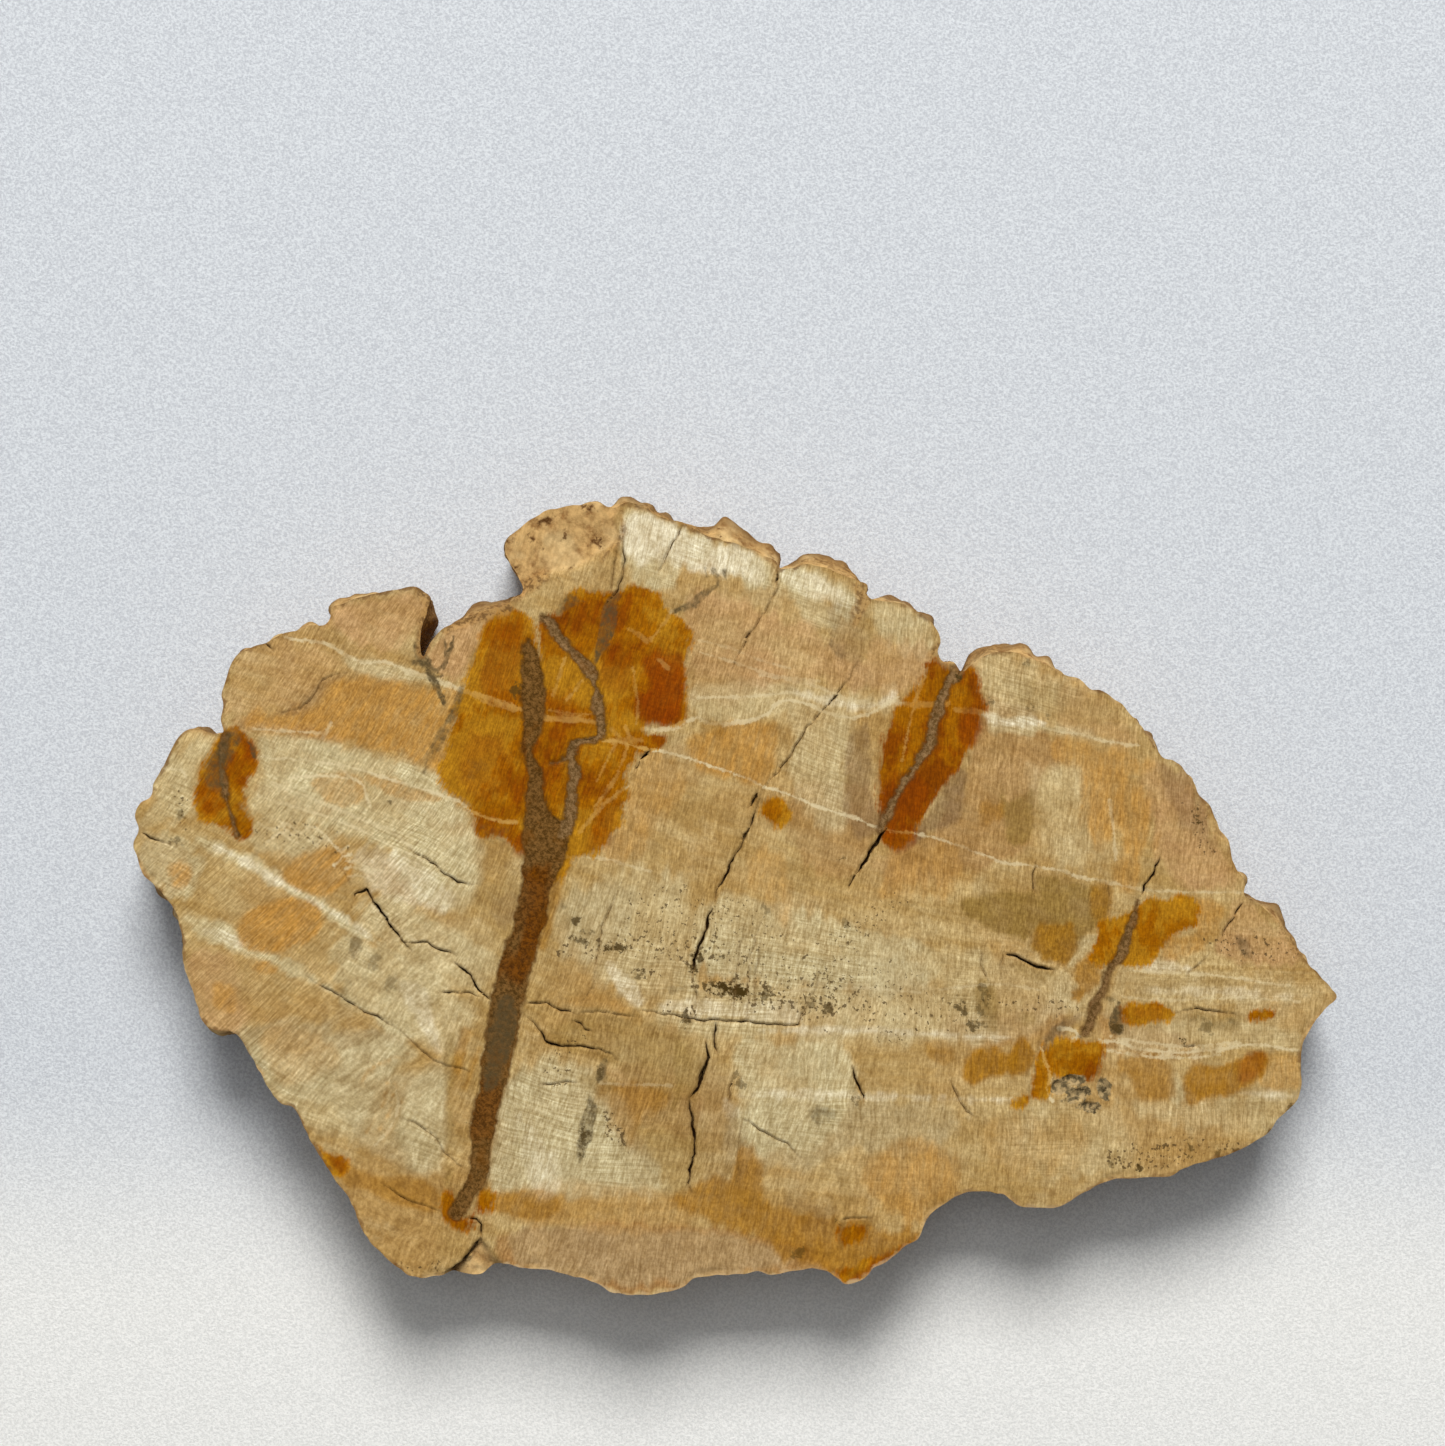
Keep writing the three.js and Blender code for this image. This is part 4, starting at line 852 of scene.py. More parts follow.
crack_lines = []
for number, (half, marks) in enumerate(CRACKS):
    dots = densify(marks, 2.6, 2.6, 31 + number, False)
    share = np.linspace(0, 1, len(dots))
    taper = 0.3 + 0.7 * smooth(np.minimum(share, 1 - share), 0, 0.25)
    lively = 0.85 + 0.5 * crumble(dots[:, 0], dots[:, 1], 0 * share, 7, 3, 8)
    crack_lines.append(np.column_stack([place(dots[:, :2]), half * UNIT * taper * lively]))
vein_lines = []
for number, marks in enumerate(VEINS):
    dots = densify(marks, 3.2, 1.5, 71 + number)
    vein_lines.append(np.column_stack([place(dots[:, :2]), dots[:, 2] * UNIT]))
pale_lines = []
for number, (half, strength, marks) in enumerate(PALE_LINES):
    dots = densify(marks, 3.0, 1.3, 131 + number)
    lively = 0.85 + 0.7 * crumble(dots[:, 0], dots[:, 1], 0 * dots[:, 0], 12, 3, 9)
    pale_lines.append((np.column_stack([place(dots[:, :2]), half * UNIT * lively]), strength))
slate_lines = []
for number, (_, _, marks) in enumerate(STAINS["slate"]):
    if len(marks[0]) == 3:
        slate_lines.append(stain_band(marks, number))
crack_length = sum(np.linalg.norm(np.diff(c[:, :2], axis=0), axis=1).sum() for c in crack_lines)
print("crack length mm", round(crack_length / MM))

# %% [markdown]
# The face is one fine sheet. Its points are the edge, rails laid along every crack, vein, pale line
# and slate smudge so that those stay crisp, a scatter over the spots, and an even jittered grid
# between. A Delaunay triangulation joins them, held to the edge.

# %% Points of the face
GRID = 0.00047
JITTER_MM = 0.06
RAIL_GAP = 0.00014
GRID_GAP = 0.00017
RAIL_TO_EDGE = 0.00018
GRID_TO_EDGE = 0.00022


def rails(line, offsets):
    """The line's points moved sideways by each offset, in metres, and by the half width where asked."""
    along = np.gradient(line[:, :2], axis=0)
    along /= np.maximum(np.linalg.norm(along, axis=1), 1e-12)[:, None]
    side = np.column_stack([along[:, 1], -along[:, 0]])
    return [line[:, :2] + side * (share * line[:, 2] + extra)[:, None] for share, extra in offsets]


def apart(points, gap):
    """The first point in each square of side `gap`."""
    cell = np.floor(points / gap).astype(np.int64)
    _, first = np.unique(cell[:, 0] * 1000003 + cell[:, 1], return_index=True)
    return points[np.sort(first)]


def away_from(points, others, gap):
    """The points with none of `others` in the nine squares of side `gap` round them."""
    mine, taken = (np.floor(p / gap).astype(np.int64) for p in (points, others))
    near = [(taken[:, 0] + i) * 1000003 + taken[:, 1] + j for i in (-1, 0, 1) for j in (-1, 0, 1)]
    return points[~np.isin(mine[:, 0] * 1000003 + mine[:, 1], np.concatenate(near))]


rng = np.random.default_rng(11)
sets = []
for line in crack_lines:
    sets += rails(line, [(0, 0), (1, 0.00006), (-1, -0.00006), (1, 0.00035), (-1, -0.00035)])
for line in vein_lines:
    sets += rails(line, [(1, 0), (-1, 0), (0, 0), (1, 0.0003), (-1, -0.0003), (1, -0.0003), (-1, 0.0003)])
for line, _ in pale_lines:
    sets += rails(line, [(0, 0), (1, 0), (-1, 0), (1, 0.0004), (-1, -0.0004)])
for x, y, wide, tall, *_ in SPOTS + POCKET:
    around = rng.uniform(-1.5, 1.5, (int(2 * wide * tall), 2)) * (wide, tall)
    sets.append(place(around + (x, y)))
for line in slate_lines:
    sets += rails(line, [(0, 0), (0.5, 0), (-0.5, 0), (1, 0), (-1, 0), (1, 0.00025), (-1, -0.00025)])
rail_points = apart(np.vstack(sets), RAIL_GAP)
rail_points = rail_points[shape_field(rail_points, EDGE, 0.01) > RAIL_TO_EDGE]
low, high = EDGE.min(0), EDGE.max(0)
gx, gy = np.meshgrid(np.arange(low[0], high[0], GRID), np.arange(low[1], high[1], GRID * 0.866))
gx = gx + (np.arange(len(gx)) % 2)[:, None] * GRID / 2
jitter = rng.uniform(-JITTER_MM, JITTER_MM, (gx.size, 2)) * MM
grid_points = np.column_stack([gx.ravel(), gy.ravel()]) + jitter
grid_points = grid_points[shape_field(grid_points, EDGE, 0.01) > GRID_TO_EDGE]
grid_points = away_from(grid_points, rail_points, GRID_GAP)
FACE = np.vstack([EDGE, rail_points, grid_points])
print(len(rail_points), "rail points,", len(grid_points), "grid points")


def triangulate(points, ring):
    """Delaunay triangles that keep the first `ring` points as the closed outer edge."""
    edges = [(i, (i + 1) % ring) for i in range(ring)]
    _, _, faces, originals, _, _ = delaunay_2d_cdt((points / MM).tolist(), edges, [], 1, 1e-7)
    first = np.array([o[0] if o else -1 for o in originals])
    tris = first[np.array(faces)]
    return tris[(tris >= 0).all(1)]


FACE_TRIS = triangulate(FACE, EDGE_STEPS)
print(len(FACE_TRIS), "face triangles")

# %% [markdown]
# The polish follows a saw cut, so the face is flat but not perfect. The vein is softer and stands a
# little low, cracks are grooves, the crystal pocket is a shallow hollow with lumps in it, and the
# broken corner and the lost flake have fallen away to rough stone.

# %% Heights of the face
# Depths in mm. A crack is as deep as CRACK_SLOPE times its half width, down to CRACK_DEEPEST.
POLISH_WAVE = 0.02
VEIN_DEPTH, VEIN_LUMPS = 0.22, 0.07
CRACK_DEEPEST, CRACK_SLOPE = 3.5, 9
CORNER_DROP, CHIP_DROP = 1.4, 2.2
POCKET_DEPTH, POCKET_LUMPS = 0.5, 0.45
NICK_DEPTH = 0.35

x, y = FACE[:, 0] / MM, FACE[:, 1] / MM
zero = 0 * x
REACH = 0.004
crack, crack_half = np.full(len(FACE), REACH), np.zeros(len(FACE))
for line in crack_lines:
    gap, half = line_field(FACE, line, REACH)
    crack_half = np.where(gap < crack, half, crack_half)
    crack = np.minimum(crack, gap)
vein, vein_grey = np.full(len(FACE), -REACH), np.zeros(len(FACE))
for line, grey in zip(vein_lines, VEIN_GREY):
    inside = -line_field(FACE, line, REACH)[0]
    vein_grey = np.where(inside > vein, grey, vein_grey)
    vein = np.maximum(vein, inside)
corner = shape_field(FACE, place(BROKEN_CORNER), REACH) + 0.35 * MM * crumble(x, y, zero, 2.2, 3, 41)
chip = shape_field(FACE, place(CHIP), REACH) + 0.2 * MM * crumble(x, y, zero, 1.5, 3, 43)
pocket = np.max([oval_field(FACE, *spot) for spot in POCKET], axis=0)
edge_gap = shape_field(FACE, EDGE, REACH)
edge_gap[:EDGE_STEPS] = 0

height = POLISH_WAVE * (wobble(x, y, 0, 31) - 1)
height -= smooth(vein, -0.00005, 0.0003) * (VEIN_DEPTH + VEIN_LUMPS * crumble(x, y, zero, 0.7, 3, 51))
height -= smooth(-crack, 0, 0.00015) * np.minimum(CRACK_DEEPEST, CRACK_SLOPE * crack_half / MM)
in_corner, in_chip = smooth(corner, 0, 0.0007), smooth(chip, 0, 0.0005)
corner_x = place(BROKEN_CORNER)[:, 0] / MM
corner_rise = 0.6 * smooth(x, corner_x.min(), corner_x.max())
corner_lumps = 0.24 * crumble(x, y, zero, 3.4, 5, 61) + 0.1 * np.abs(crumble(x, y, zero, 6.5, 3, 63))
height -= in_corner * CORNER_DROP * (1 - corner_rise - corner_lumps)
chip_x = place(CHIP)[:, 0] / MM
chip_rise = 0.6 * smooth(x, chip_x.min(), chip_x.max())
height -= in_chip * CHIP_DROP * (1 - chip_rise - 0.2 * crumble(x, y, zero, 1.6, 4, 67))
pocket = pocket + 0.45 * crumble(x, y, zero, 1.5, 3, 69)
height -= smooth(pocket, 0, 0.7) * (POCKET_DEPTH + POCKET_LUMPS * crumble(x, y, zero, 1.0, 4, 71))
nick = smooth(crumble(x, y, zero, 3.1, 3, 73), 0.12, 0.4) * smooth(-edge_gap, -0.0011, -0.0002)
height -= NICK_DEPTH * nick
face_z = THICK + height * MM
print("face heights mm", np.round([height.min(), height.max()], 2))

# %% [markdown]
# The rim is the outside of the log. It starts at the cut edge and goes down in rings to the sawn
# back. Lumps, ridges along the grain and crumbs come from the same sines as on the solid, and crumble
# adds the fine weathered breaks.

# %% Rim and back
# Lengths in mm, and how much of the way to a facing wall the rim may take up in a cleft.
UNDERCUT, TOE = 1.1, 0.8
LUMPS, RIDGES, FINE_RIDGES, BREAKS = 1.0, 0.45, 0.3, 0.3
CLEFT_SHARE = 0.38
BACK_GRID, BACK_ROOM = 2.0, 1.2
RIM_SHARES = np.array([0, 0.02, 0.05, 0.1, 0.17, 0.26, 0.36, 0.47, 0.58, 0.69, 0.8, 0.89, 0.96, 1.0])


def clear_way():
    """How far it is straight out from each edge point to a wall that faces it, for the clefts."""
    room = np.full(EDGE_STEPS, np.inf)
    for i in np.array_split(np.arange(EDGE_STEPS), 8):
        way = EDGE[None] - EDGE[i, None]
        length = np.linalg.norm(way, axis=2)
        ahead = (way * EDGE_OUT[i, None]).sum(2) > 0.5 * length
        facing = (way * EDGE_OUT[None]).sum(2) < 0
        room[i] = np.where(ahead & facing, length, np.inf).min(1)
    return room


def rim_reach(share):
    """Metres out from the edge: (flare less undercut plus lumps) times shoulder, plus ridges, less toe."""
    ex, ey = EDGE[:, 0] / MM, EDGE[:, 1] / MM
    z = -share * THICK / MM + 0 * ex
    shoulder, toe = smooth(share, 0, 0.33), smooth(share, 0.8, 1)
    lumps = LUMPS * wobble(ex, ey, 0.8 * z, 21)
    ridges = RIDGES * wobble(ex, ey, 0.15 * z, 5.2) + FINE_RIDGES * wobble(ex, ey, 0.9 * z, 3.7)
    fine = BREAKS * crumble(ex, ey, 0.45 * z, 2.3, 4, 81)
    fine -= BREAKS * np.abs(crumble(ex, ey, 0.8 * z, 4.1, 3, 85))
    bulk = FLARE / MM * (1 - 0.35 * toe) - UNDERCUT * smooth(-ey, 5, 25) + lumps
    reach = bulk * shoulder + (ridges + fine) * min(1, 6 * share) - TOE * toe
    return np.minimum(reach * MM, CLEFT_SHARE * ROOM)


ROOM = clear_way()
rings = [EDGE + EDGE_OUT * rim_reach(share)[:, None] for share in RIM_SHARES[1:]]
rim_z = [face_z[:EDGE_STEPS] * (1 - share) for share in RIM_SHARES[1:]]
BACK_EDGE = rings[-1]
low, high = BACK_EDGE.min(0), BACK_EDGE.max(0)
bx, by = (np.arange(low[k], high[k], BACK_GRID * MM) for k in (0, 1))
bx, by = np.meshgrid(bx, by)
back_grid = np.column_stack([bx.ravel(), by.ravel()])
back_grid = back_grid[shape_field(back_grid, BACK_EDGE, 0.01) > BACK_ROOM * MM]
BACK = np.vstack([BACK_EDGE, back_grid])
back_tris = triangulate(BACK, EDGE_STEPS)

n_face, n_rim = len(FACE), EDGE_STEPS * (len(rings) - 1)
verts = np.vstack(
    [np.column_stack([FACE, face_z])]
    + [np.column_stack([r, z]) for r, z in zip(rings[:-1], rim_z[:-1])]
    + [np.column_stack([BACK, np.zeros(len(BACK))])]
)
outside = np.abs(verts - np.clip(verts, BOX_LOW, BOX_HIGH)).max()
verts = np.clip(verts, BOX_LOW, BOX_HIGH)
print("trimmed to the solid's box by mm", round(float(outside) / MM, 3))
start = np.concatenate([[0], n_face + EDGE_STEPS * np.arange(len(rings))])
i = np.arange(EDGE_STEPS)
j = (i + 1) % EDGE_STEPS
rim_tris = []
for upper, lower in zip(start[:-1], start[1:]):
    rim_tris.append(np.column_stack([upper + i, lower + i, upper + j]))
    rim_tris.append(np.column_stack([upper + j, lower + i, lower + j]))
turned = back_tris[:, ::-1] + n_face + n_rim
tris = np.vstack([FACE_TRIS] + rim_tris + [turned])
print(len(verts), "points", len(tris), "triangles")

mesh = bpy.data.meshes.new("petrified_wood")
mesh.from_pydata(verts.tolist(), [], tris.tolist())
mesh.update()
slab = bpy.data.objects.new("petrified_wood", mesh)
bpy.context.scene.collection.objects.link(slab)
mesh.polygons.foreach_set("use_smooth", np.ones(len(mesh.polygons), bool))
edge_keys = np.zeros(2 * len(mesh.edges), int)
mesh.edges.foreach_get("vertices", edge_keys)
edge_keys = edge_keys.reshape(-1, 2)
cut_edge = (edge_keys < EDGE_STEPS).all(1)
back_ring = (edge_keys >= n_face + n_rim).all(1) & (edge_keys < n_face + n_rim + EDGE_STEPS).all(1)
mesh.attributes.new("sharp_edge", "BOOLEAN", "EDGE").data.foreach_set("value", cut_edge | back_ring)
loose = np.bincount(tris.ravel(), minlength=len(verts)) == 0
print("points in no triangle", int(loose.sum()))

# %% [markdown]
# The stone's markings are stored on the points as plain numbers. `grain` holds how far a point is
# across the growth rings and across the rays. Rings lean down to the right and flatten towards the
# right and the lower edge, so both numbers come from following that lean to one reference line.

# %% Markings stored on the points
# The upright line and the level line that the rings and the rays are followed to, in picture units.
RING_COLUMN, RAY_ROW = 700, 850
FOLLOW_STEPS = 24


def ring_lean(px, py):
    """Slope of the rings in picture units: steep at the left, flat at the right and bottom."""
    left = 0.26 + 0.26 * smooth(py, 640, 860) - 0.24 * smooth(py, 1040, 1190)
    right = 0.30 - 0.24 * smooth(py, 860, 1010)
    across = smooth(px, 470, 640)
    return (left * (1 - across) + right * across) * (1 - 0.75 * smooth(px, 950, 1250))


def ray_lean(px, py):
    """How far the rays lean to the right for each unit up: 45 degrees at the left, upright at the right."""
    left = 0.62 + 0.36 * smooth(py, 720, 880) - 0.7 * smooth(py, 1080, 1200)
    middle = 0.3 - 0.08 * smooth(px, 560, 700) - 0.14 * smooth(px, 780, 950)
    across = smooth(px, 400, 500)
    return left * (1 - across) + middle * across


def follow(px, py, target, along_rings):
    """Steps of the slope from each point to the reference column or row, and where that ends."""
    step = (target - (px if along_rings else py)) / FOLLOW_STEPS
    for _ in range(FOLLOW_STEPS):
        if along_rings:
            px, py = px + step, py + step * ring_lean(px, py)
        else:
            px, py = px - step * ray_lean(px, py), py + step
    return py if along_rings else px


vx, vy, vz = (verts / MM).T
bend = 7 * crumble(vx, vy, vz, 19, 3, 91)
px = verts[:, 0] / UNIT + TRACE_MIDDLE[0]
py = TRACE_MIDDLE[1] - verts[:, 1] / UNIT
ripple = 3.0 * crumble(vx, vy, vz, 5, 3, 93)
ring_mm = (follow(px, py, RING_COLUMN, True) + bend + ripple) * UNIT / MM
ray_mm = (follow(px, py, RAY_ROW, False) + bend + ripple) * UNIT / MM
grain = np.column_stack([ring_mm, ray_mm, vz]).astype(np.float32)


def store(name, values):
    """One number for each point of the slab."""
    mesh.attributes.new(name, "FLOAT", "POINT").data.foreach_set("value", np.asarray(values, np.float32))


def full(values, rest):
    """Values of the face's points, and the same rest value for every point of the rim and back."""
    return np.concatenate([values, np.full(len(verts) - n_face, rest)])


mesh.attributes.new("grain", "FLOAT_VECTOR", "POINT").data.foreach_set("vector", grain.ravel())
flat = verts[:, :2]
amber, tone = np.full(len(verts), -REACH), np.zeros(len(verts))
for dark, marks in AMBER:
    outline = place(spline(marks, True, 5))
    inside = shape_field(flat, outline, REACH)
    tone = np.where(inside > amber, dark, tone)
    amber = np.maximum(amber, inside)
pale, pale_dark = np.full(len(verts), -REACH / MM), np.zeros(len(verts))
feather = 0.9 * crumble(ray_mm * 2.2, ring_mm * 0.25, 0 * vx, 2.0, 3, 95)
feather += 0.6 * crumble(vx, vy, vz, 3.0, 3, 97)
for name, stains in STAINS.items():
    stain = np.zeros(len(verts))
    for number, (strength, soft, marks) in enumerate(stains):
        if len(marks[0]) == 3:
            inside = -line_field(flat, stain_band(marks, number), REACH)[0]
        else:
            inside = shape_field(flat, place(spline(marks, True, 5)), REACH)
        share = smooth(inside / MM + 1.6 * soft * feather, -0.7 * soft, 0.7 * soft)
        stain = np.maximum(stain, strength * share)
    store(name, stain)
for line, strength in pale_lines:
    gap = line_field(flat, line, REACH)[0] / MM
    pale_dark = np.where(-gap > pale, strength, pale_dark)
    pale = np.maximum(pale, -gap)
spot, spot_dark = np.full(len(verts), -REACH / MM), np.zeros(len(verts))
for *oval, strength in SPOTS:
    inside = oval_field(flat, *oval) * min(oval[2:4]) * UNIT / MM
    spot_dark = np.where(inside > spot, strength, spot_dark)
    spot = np.maximum(spot, inside)
store("amber", amber / MM)
store("tone", tone)
store("pale_line", pale)
store("pale_dark", pale_dark)
store("spot", spot)
store("spot_dark", spot_dark)
store("vein", full(vein / MM, -REACH / MM))
store("vein_grey", full(vein_grey, 0.0))
store("crack", full(crack / MM, REACH / MM))
# How dark the painted shade in each crack is, from its width.
store("crack_shade", full(0.35 + 0.65 * smooth(crack_half / UNIT, 0.35, 1.3), 0.0))
store("pocket", full(pocket, -1))
cut_down = np.maximum.reduce([in_corner, in_chip, nick * smooth(-edge_gap, -0.0006, -0.0001)])
store("rough", full(cut_down, 1.0))
store("edge", full(edge_gap / MM, 0.0))
store("pale_lower_edge", smooth(py, 1180, 1230) * smooth(px, 470, 510))
depth = np.zeros(len(verts))
depth[n_face : n_face + n_rim + EDGE_STEPS] = np.repeat(RIM_SHARES[1:], EDGE_STEPS)
store("depth", depth)
print("stored", len(mesh.attributes), "attributes")
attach(slab, "root")
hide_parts("petrified_wood_slice")

# %% [markdown]
# Agatized wood is silica with iron oxides in it. The polished cut has a satin gloss and its colour is
# built in the order that the stone shows: pale wood, rings and rays, iron stains, amber agate, grey
# vein, pale seams, then cracks and dark spots. Weathered stone on the rim is matt and crumbly.

# %% Stone material
def rgb(r, g, b):
    """A display colour from 0 to 255 as linear light: ((c + 0.055) / 1.055) to the 2.4."""
    c = np.array([r, g, b]) / 255
    return tuple(np.where(c <= 0.04045, c / 12.92, ((c + 0.055) / 1.055) ** 2.4)) + (1.0,)


stone = bpy.data.materials.new("petrified_wood")
stone.use_nodes = True
tree = stone.node_tree
tree.nodes.clear()


def plug(socket, value):
    """Links a socket, or sets a constant on one."""
    if isinstance(value, bpy.types.NodeSocket):
        tree.links.new(value, socket)
    else:
        socket.default_value = value


def attribute(name, output="Fac"):
    """A number or vector that the slab's points hold."""
    node = tree.nodes.new("ShaderNodeAttribute")
    node.attribute_name = name
    return node.outputs[output]


def calc(operation, *values):
    """One arithmetic step."""
    node = tree.nodes.new("ShaderNodeMath")
    node.operation = operation
    for socket, value in zip(node.inputs, values):
        plug(socket, value)
    return node.outputs[0]


def times(one, two):
    """The product of two numbers."""
    return calc("MULTIPLY", one, two)


def plus(one, two):
    """The sum of two numbers."""
    return calc("ADD", one, two)


def between(value, low, high, to_low=0.0, to_high=1.0):
    """Smooth step of a value from one range to another."""
    node = tree.nodes.new("ShaderNodeMapRange")
    node.interpolation_type = "SMOOTHSTEP"
    for socket, given in zip(node.inputs, (value, low, high, to_low, to_high)):
        plug(socket, given)
    return node.outputs[0]


def wander(pattern, less, more):
    """A shift that carries an edge in or out, from less to more as the pattern goes through its range."""
    return between(pattern, 0.3, 0.7, less, more)


def mix(share, one, two, blend="MIX"):
    """Two colours blended by a share."""
    node = tree.nodes.new("ShaderNodeMix")
    node.data_type, node.blend_type = "RGBA", blend
    plug(node.inputs[0], share)
    plug(node.inputs[6], one)
    plug(node.inputs[7], two)
    return node.outputs[2]


def noise(vector, scale, detail=4.0, rough=0.55):
    """Cloudy noise from 0 to 1 at a place."""
    node = tree.nodes.new("ShaderNodeTexNoise")
    plug(node.inputs["Vector"], vector)
    plug(node.inputs["Scale"], scale)
    plug(node.inputs["Detail"], detail)
    plug(node.inputs["Roughness"], rough)
    return node.outputs[0]


def oblique(vector):
    """The position turned about all three axes, so that no noise cell lies square to the face."""
    node = tree.nodes.new("ShaderNodeMapping")
    plug(node.inputs["Vector"], vector)
    plug(node.inputs["Rotation"], (0.61, 0.47, 0.83))
    return node.outputs[0]


def stretched(vector, across_rings, across_rays, up=0.2):
    """The grain position scaled for each direction, to draw noise out into streaks."""
    node = tree.nodes.new("ShaderNodeVectorMath")
    node.operation = "MULTIPLY"
    plug(node.inputs[0], vector)
    plug(node.inputs[1], (across_rings, across_rays, up))
    return node.outputs[0]


grain_at = attribute("grain", "Vector")
body_at = oblique(tree.nodes.new("ShaderNodeTexCoord").outputs["Object"])
fine_rays = noise(stretched(grain_at, 0.42, 2.6), 1.0, 4.0, 0.62)
hair_rays = noise(stretched(grain_at, 0.9, 5.0), 1.0, 2.0, 0.5)
bold_rays = noise(stretched(grain_at, 0.22, 0.9), 1.0, 4.0, 0.6)
rings = noise(stretched(grain_at, 0.30, 0.05), 1.0, 5.0, 0.6)
fine_rings = noise(stretched(grain_at, 1.4, 0.22), 1.0, 3.0, 0.6)
ring_lines = noise(stretched(grain_at, 3.4, 0.16), 1.0, 3.0, 0.62)
mottle = noise(body_at, 150.0, 5.0, 0.62)
blotch = noise(body_at, 55.0, 5.0, 0.6)
patches = noise(body_at, 330.0, 4.0, 0.6)
grit = noise(body_at, 2600.0, 2.0, 0.7)
crumbs = noise(body_at, 700.0, 5.0, 0.65)


def shade(colour, value, low, high, dark, light):
    """Multiplies a colour by a factor that runs from dark to light as the value goes from low to high."""
    return mix(1.0, colour, mix(between(value, low, high), dark + (1,), light + (1,)), "MULTIPLY")


def stain(colour, name, strength, tint, pattern, low=0.3, high=0.65, least=0.45):
    """Lays a traced stain over a colour, thinned where the pattern is low."""
    share = times(attribute(name), between(pattern, low, high, least * strength, strength))
    return mix(share, colour, tint)


wood = mix(between(rings, 0.36, 0.66), rgb(177, 144, 85), rgb(199, 172, 117))
wood = mix(between(blotch, 0.42, 0.68, 0.0, 0.5), wood, rgb(183, 142, 82))
wood = mix(between(mottle, 0.5, 0.72, 0.0, 0.45), wood, rgb(204, 182, 134))
# The tan stain also holds painted shade along the lower edge of the face.
wood = stain(wood, "tan_and_bottom_shade", 1.0, rgb(170, 126, 74), mottle, 0.3, 0.6, 0.7)
wood = stain(wood, "grey", 1.0, rgb(184, 168, 128), mottle, 0.3, 0.6, 0.7)
wood = stain(wood, "cream", 1.0, rgb(211, 197, 152), mottle)
wood = stain(wood, "pink", 0.95, rgb(196, 154, 104), mottle)
wood = stain(wood, "orange", 1.0, rgb(190, 140, 66), bold_rays)
wood = stain(wood, "white", 1.0, rgb(238, 228, 196), patches)
wood = stain(wood, "gloom", 0.85, rgb(138, 108, 72), patches, 0.3, 0.6, 0.6)
wood = stain(wood, "olive", 0.95, rgb(144, 114, 54), patches, 0.3, 0.6, 0.6)
wood = stain(wood, "honey", 1.0, rgb(161, 108, 4), bold_rays, 0.3, 0.62, 0.78)

amber_wander = plus(wander(fine_rays, -0.3, 0.3), wander(patches, -0.5, 0.5))
amber_edge = plus(attribute("amber"), amber_wander)
amber_tone = plus(attribute("tone"), between(noise(body_at, 130.0, 5.0, 0.62), 0.34, 0.68, -0.3, 0.8))
amber_tone = plus(amber_tone, wander(bold_rays, -0.25, 0.25))
amber = mix(between(amber_tone, -0.1, 0.45), rgb(178, 124, 24), rgb(160, 98, 2))
amber = mix(between(amber_tone, 0.45, 1.0), amber, rgb(136, 70, 0))
wood = mix(between(amber_edge, -0.42, 0.42), wood, amber)
wood = stain(wood, "deep", 0.85, rgb(136, 58, 0), mottle, 0.3, 0.6, 0.55)

streak_room = between(noise(body_at, 90.0, 3.0, 0.5), 0.35, 0.65, 0.6, 1.1)
streaked = shade(wood, fine_rays, 0.32, 0.68, (0.80, 0.76, 0.68), (1.17, 1.20, 1.26))
wood = mix(streak_room, wood, streaked)
wood = shade(wood, bold_rays, 0.32, 0.68, (0.90, 0.875, 0.84), (1.07, 1.08, 1.10))
wood = shade(wood, hair_rays, 0.3, 0.7, (0.86, 0.83, 0.78), (1.13, 1.15, 1.19))
line_room = between(noise(body_at, 75.0, 3.0, 0.5), 0.44, 0.66)
line_room = times(line_room, between(attribute("cream"), 0.0, 0.7, 0.35, 1.0))
lined = shade(wood, ring_lines, 0.36, 0.64, (0.84, 0.80, 0.72), (1.14, 1.17, 1.22))
wood = mix(line_room, wood, lined)
wood = shade(wood, fine_rings, 0.35, 0.65, (0.965, 0.955, 0.94), (1.03, 1.04, 1.055))
wood = shade(wood, patches, 0.34, 0.66, (0.91, 0.895, 0.87), (1.07, 1.08, 1.10))
wood = shade(wood, grit, 0.3, 0.7, (0.85, 0.83, 0.81), (1.13, 1.14, 1.16))

pale_wander = plus(wander(crumbs, -0.15, 0.12), wander(grit, -0.1, 0.1))
pale_share = between(plus(attribute("pale_line"), pale_wander), -0.24, 0.06)
pale_share = times(times(pale_share, attribute("pale_dark")), between(patches, 0.34, 0.56, 0.3, 1.0))
pale_stone = mix(between(amber_edge, -0.2, 0.2), rgb(226, 208, 164), rgb(204, 160, 84))
wood = mix(pale_share, wood, pale_stone)

vein_grain = noise(body_at, 2000.0, 4.0, 0.8)
vein_brown = mix(between(vein_grain, 0.38, 0.62), rgb(68, 42, 2), rgb(122, 82, 28))
vein_grey = mix(between(vein_grain, 0.38, 0.62), rgb(98, 72, 36), rgb(150, 118, 78))
vein_stone = mix(attribute("vein_grey"), vein_brown, vein_grey)
vein_rust = mix(between(vein_grain, 0.38, 0.62), rgb(74, 36, 0), rgb(120, 66, 0))
vein_stone = mix(times(attribute("rust"), between(mottle, 0.3, 0.6, 0.8, 1.0)), vein_stone, vein_rust)
vein_stone = mix(between(patches, 0.54, 0.7, 0.0, 0.4), vein_stone, rgb(120, 70, 6))
vein_wander = plus(wander(crumbs, -0.16, 0.16), wander(patches, -0.3, 0.3))
vein_edge = plus(attribute("vein"), vein_wander)
wood = mix(between(vein_edge, -0.16, 0.16, 0.0, 0.98), wood, vein_stone)
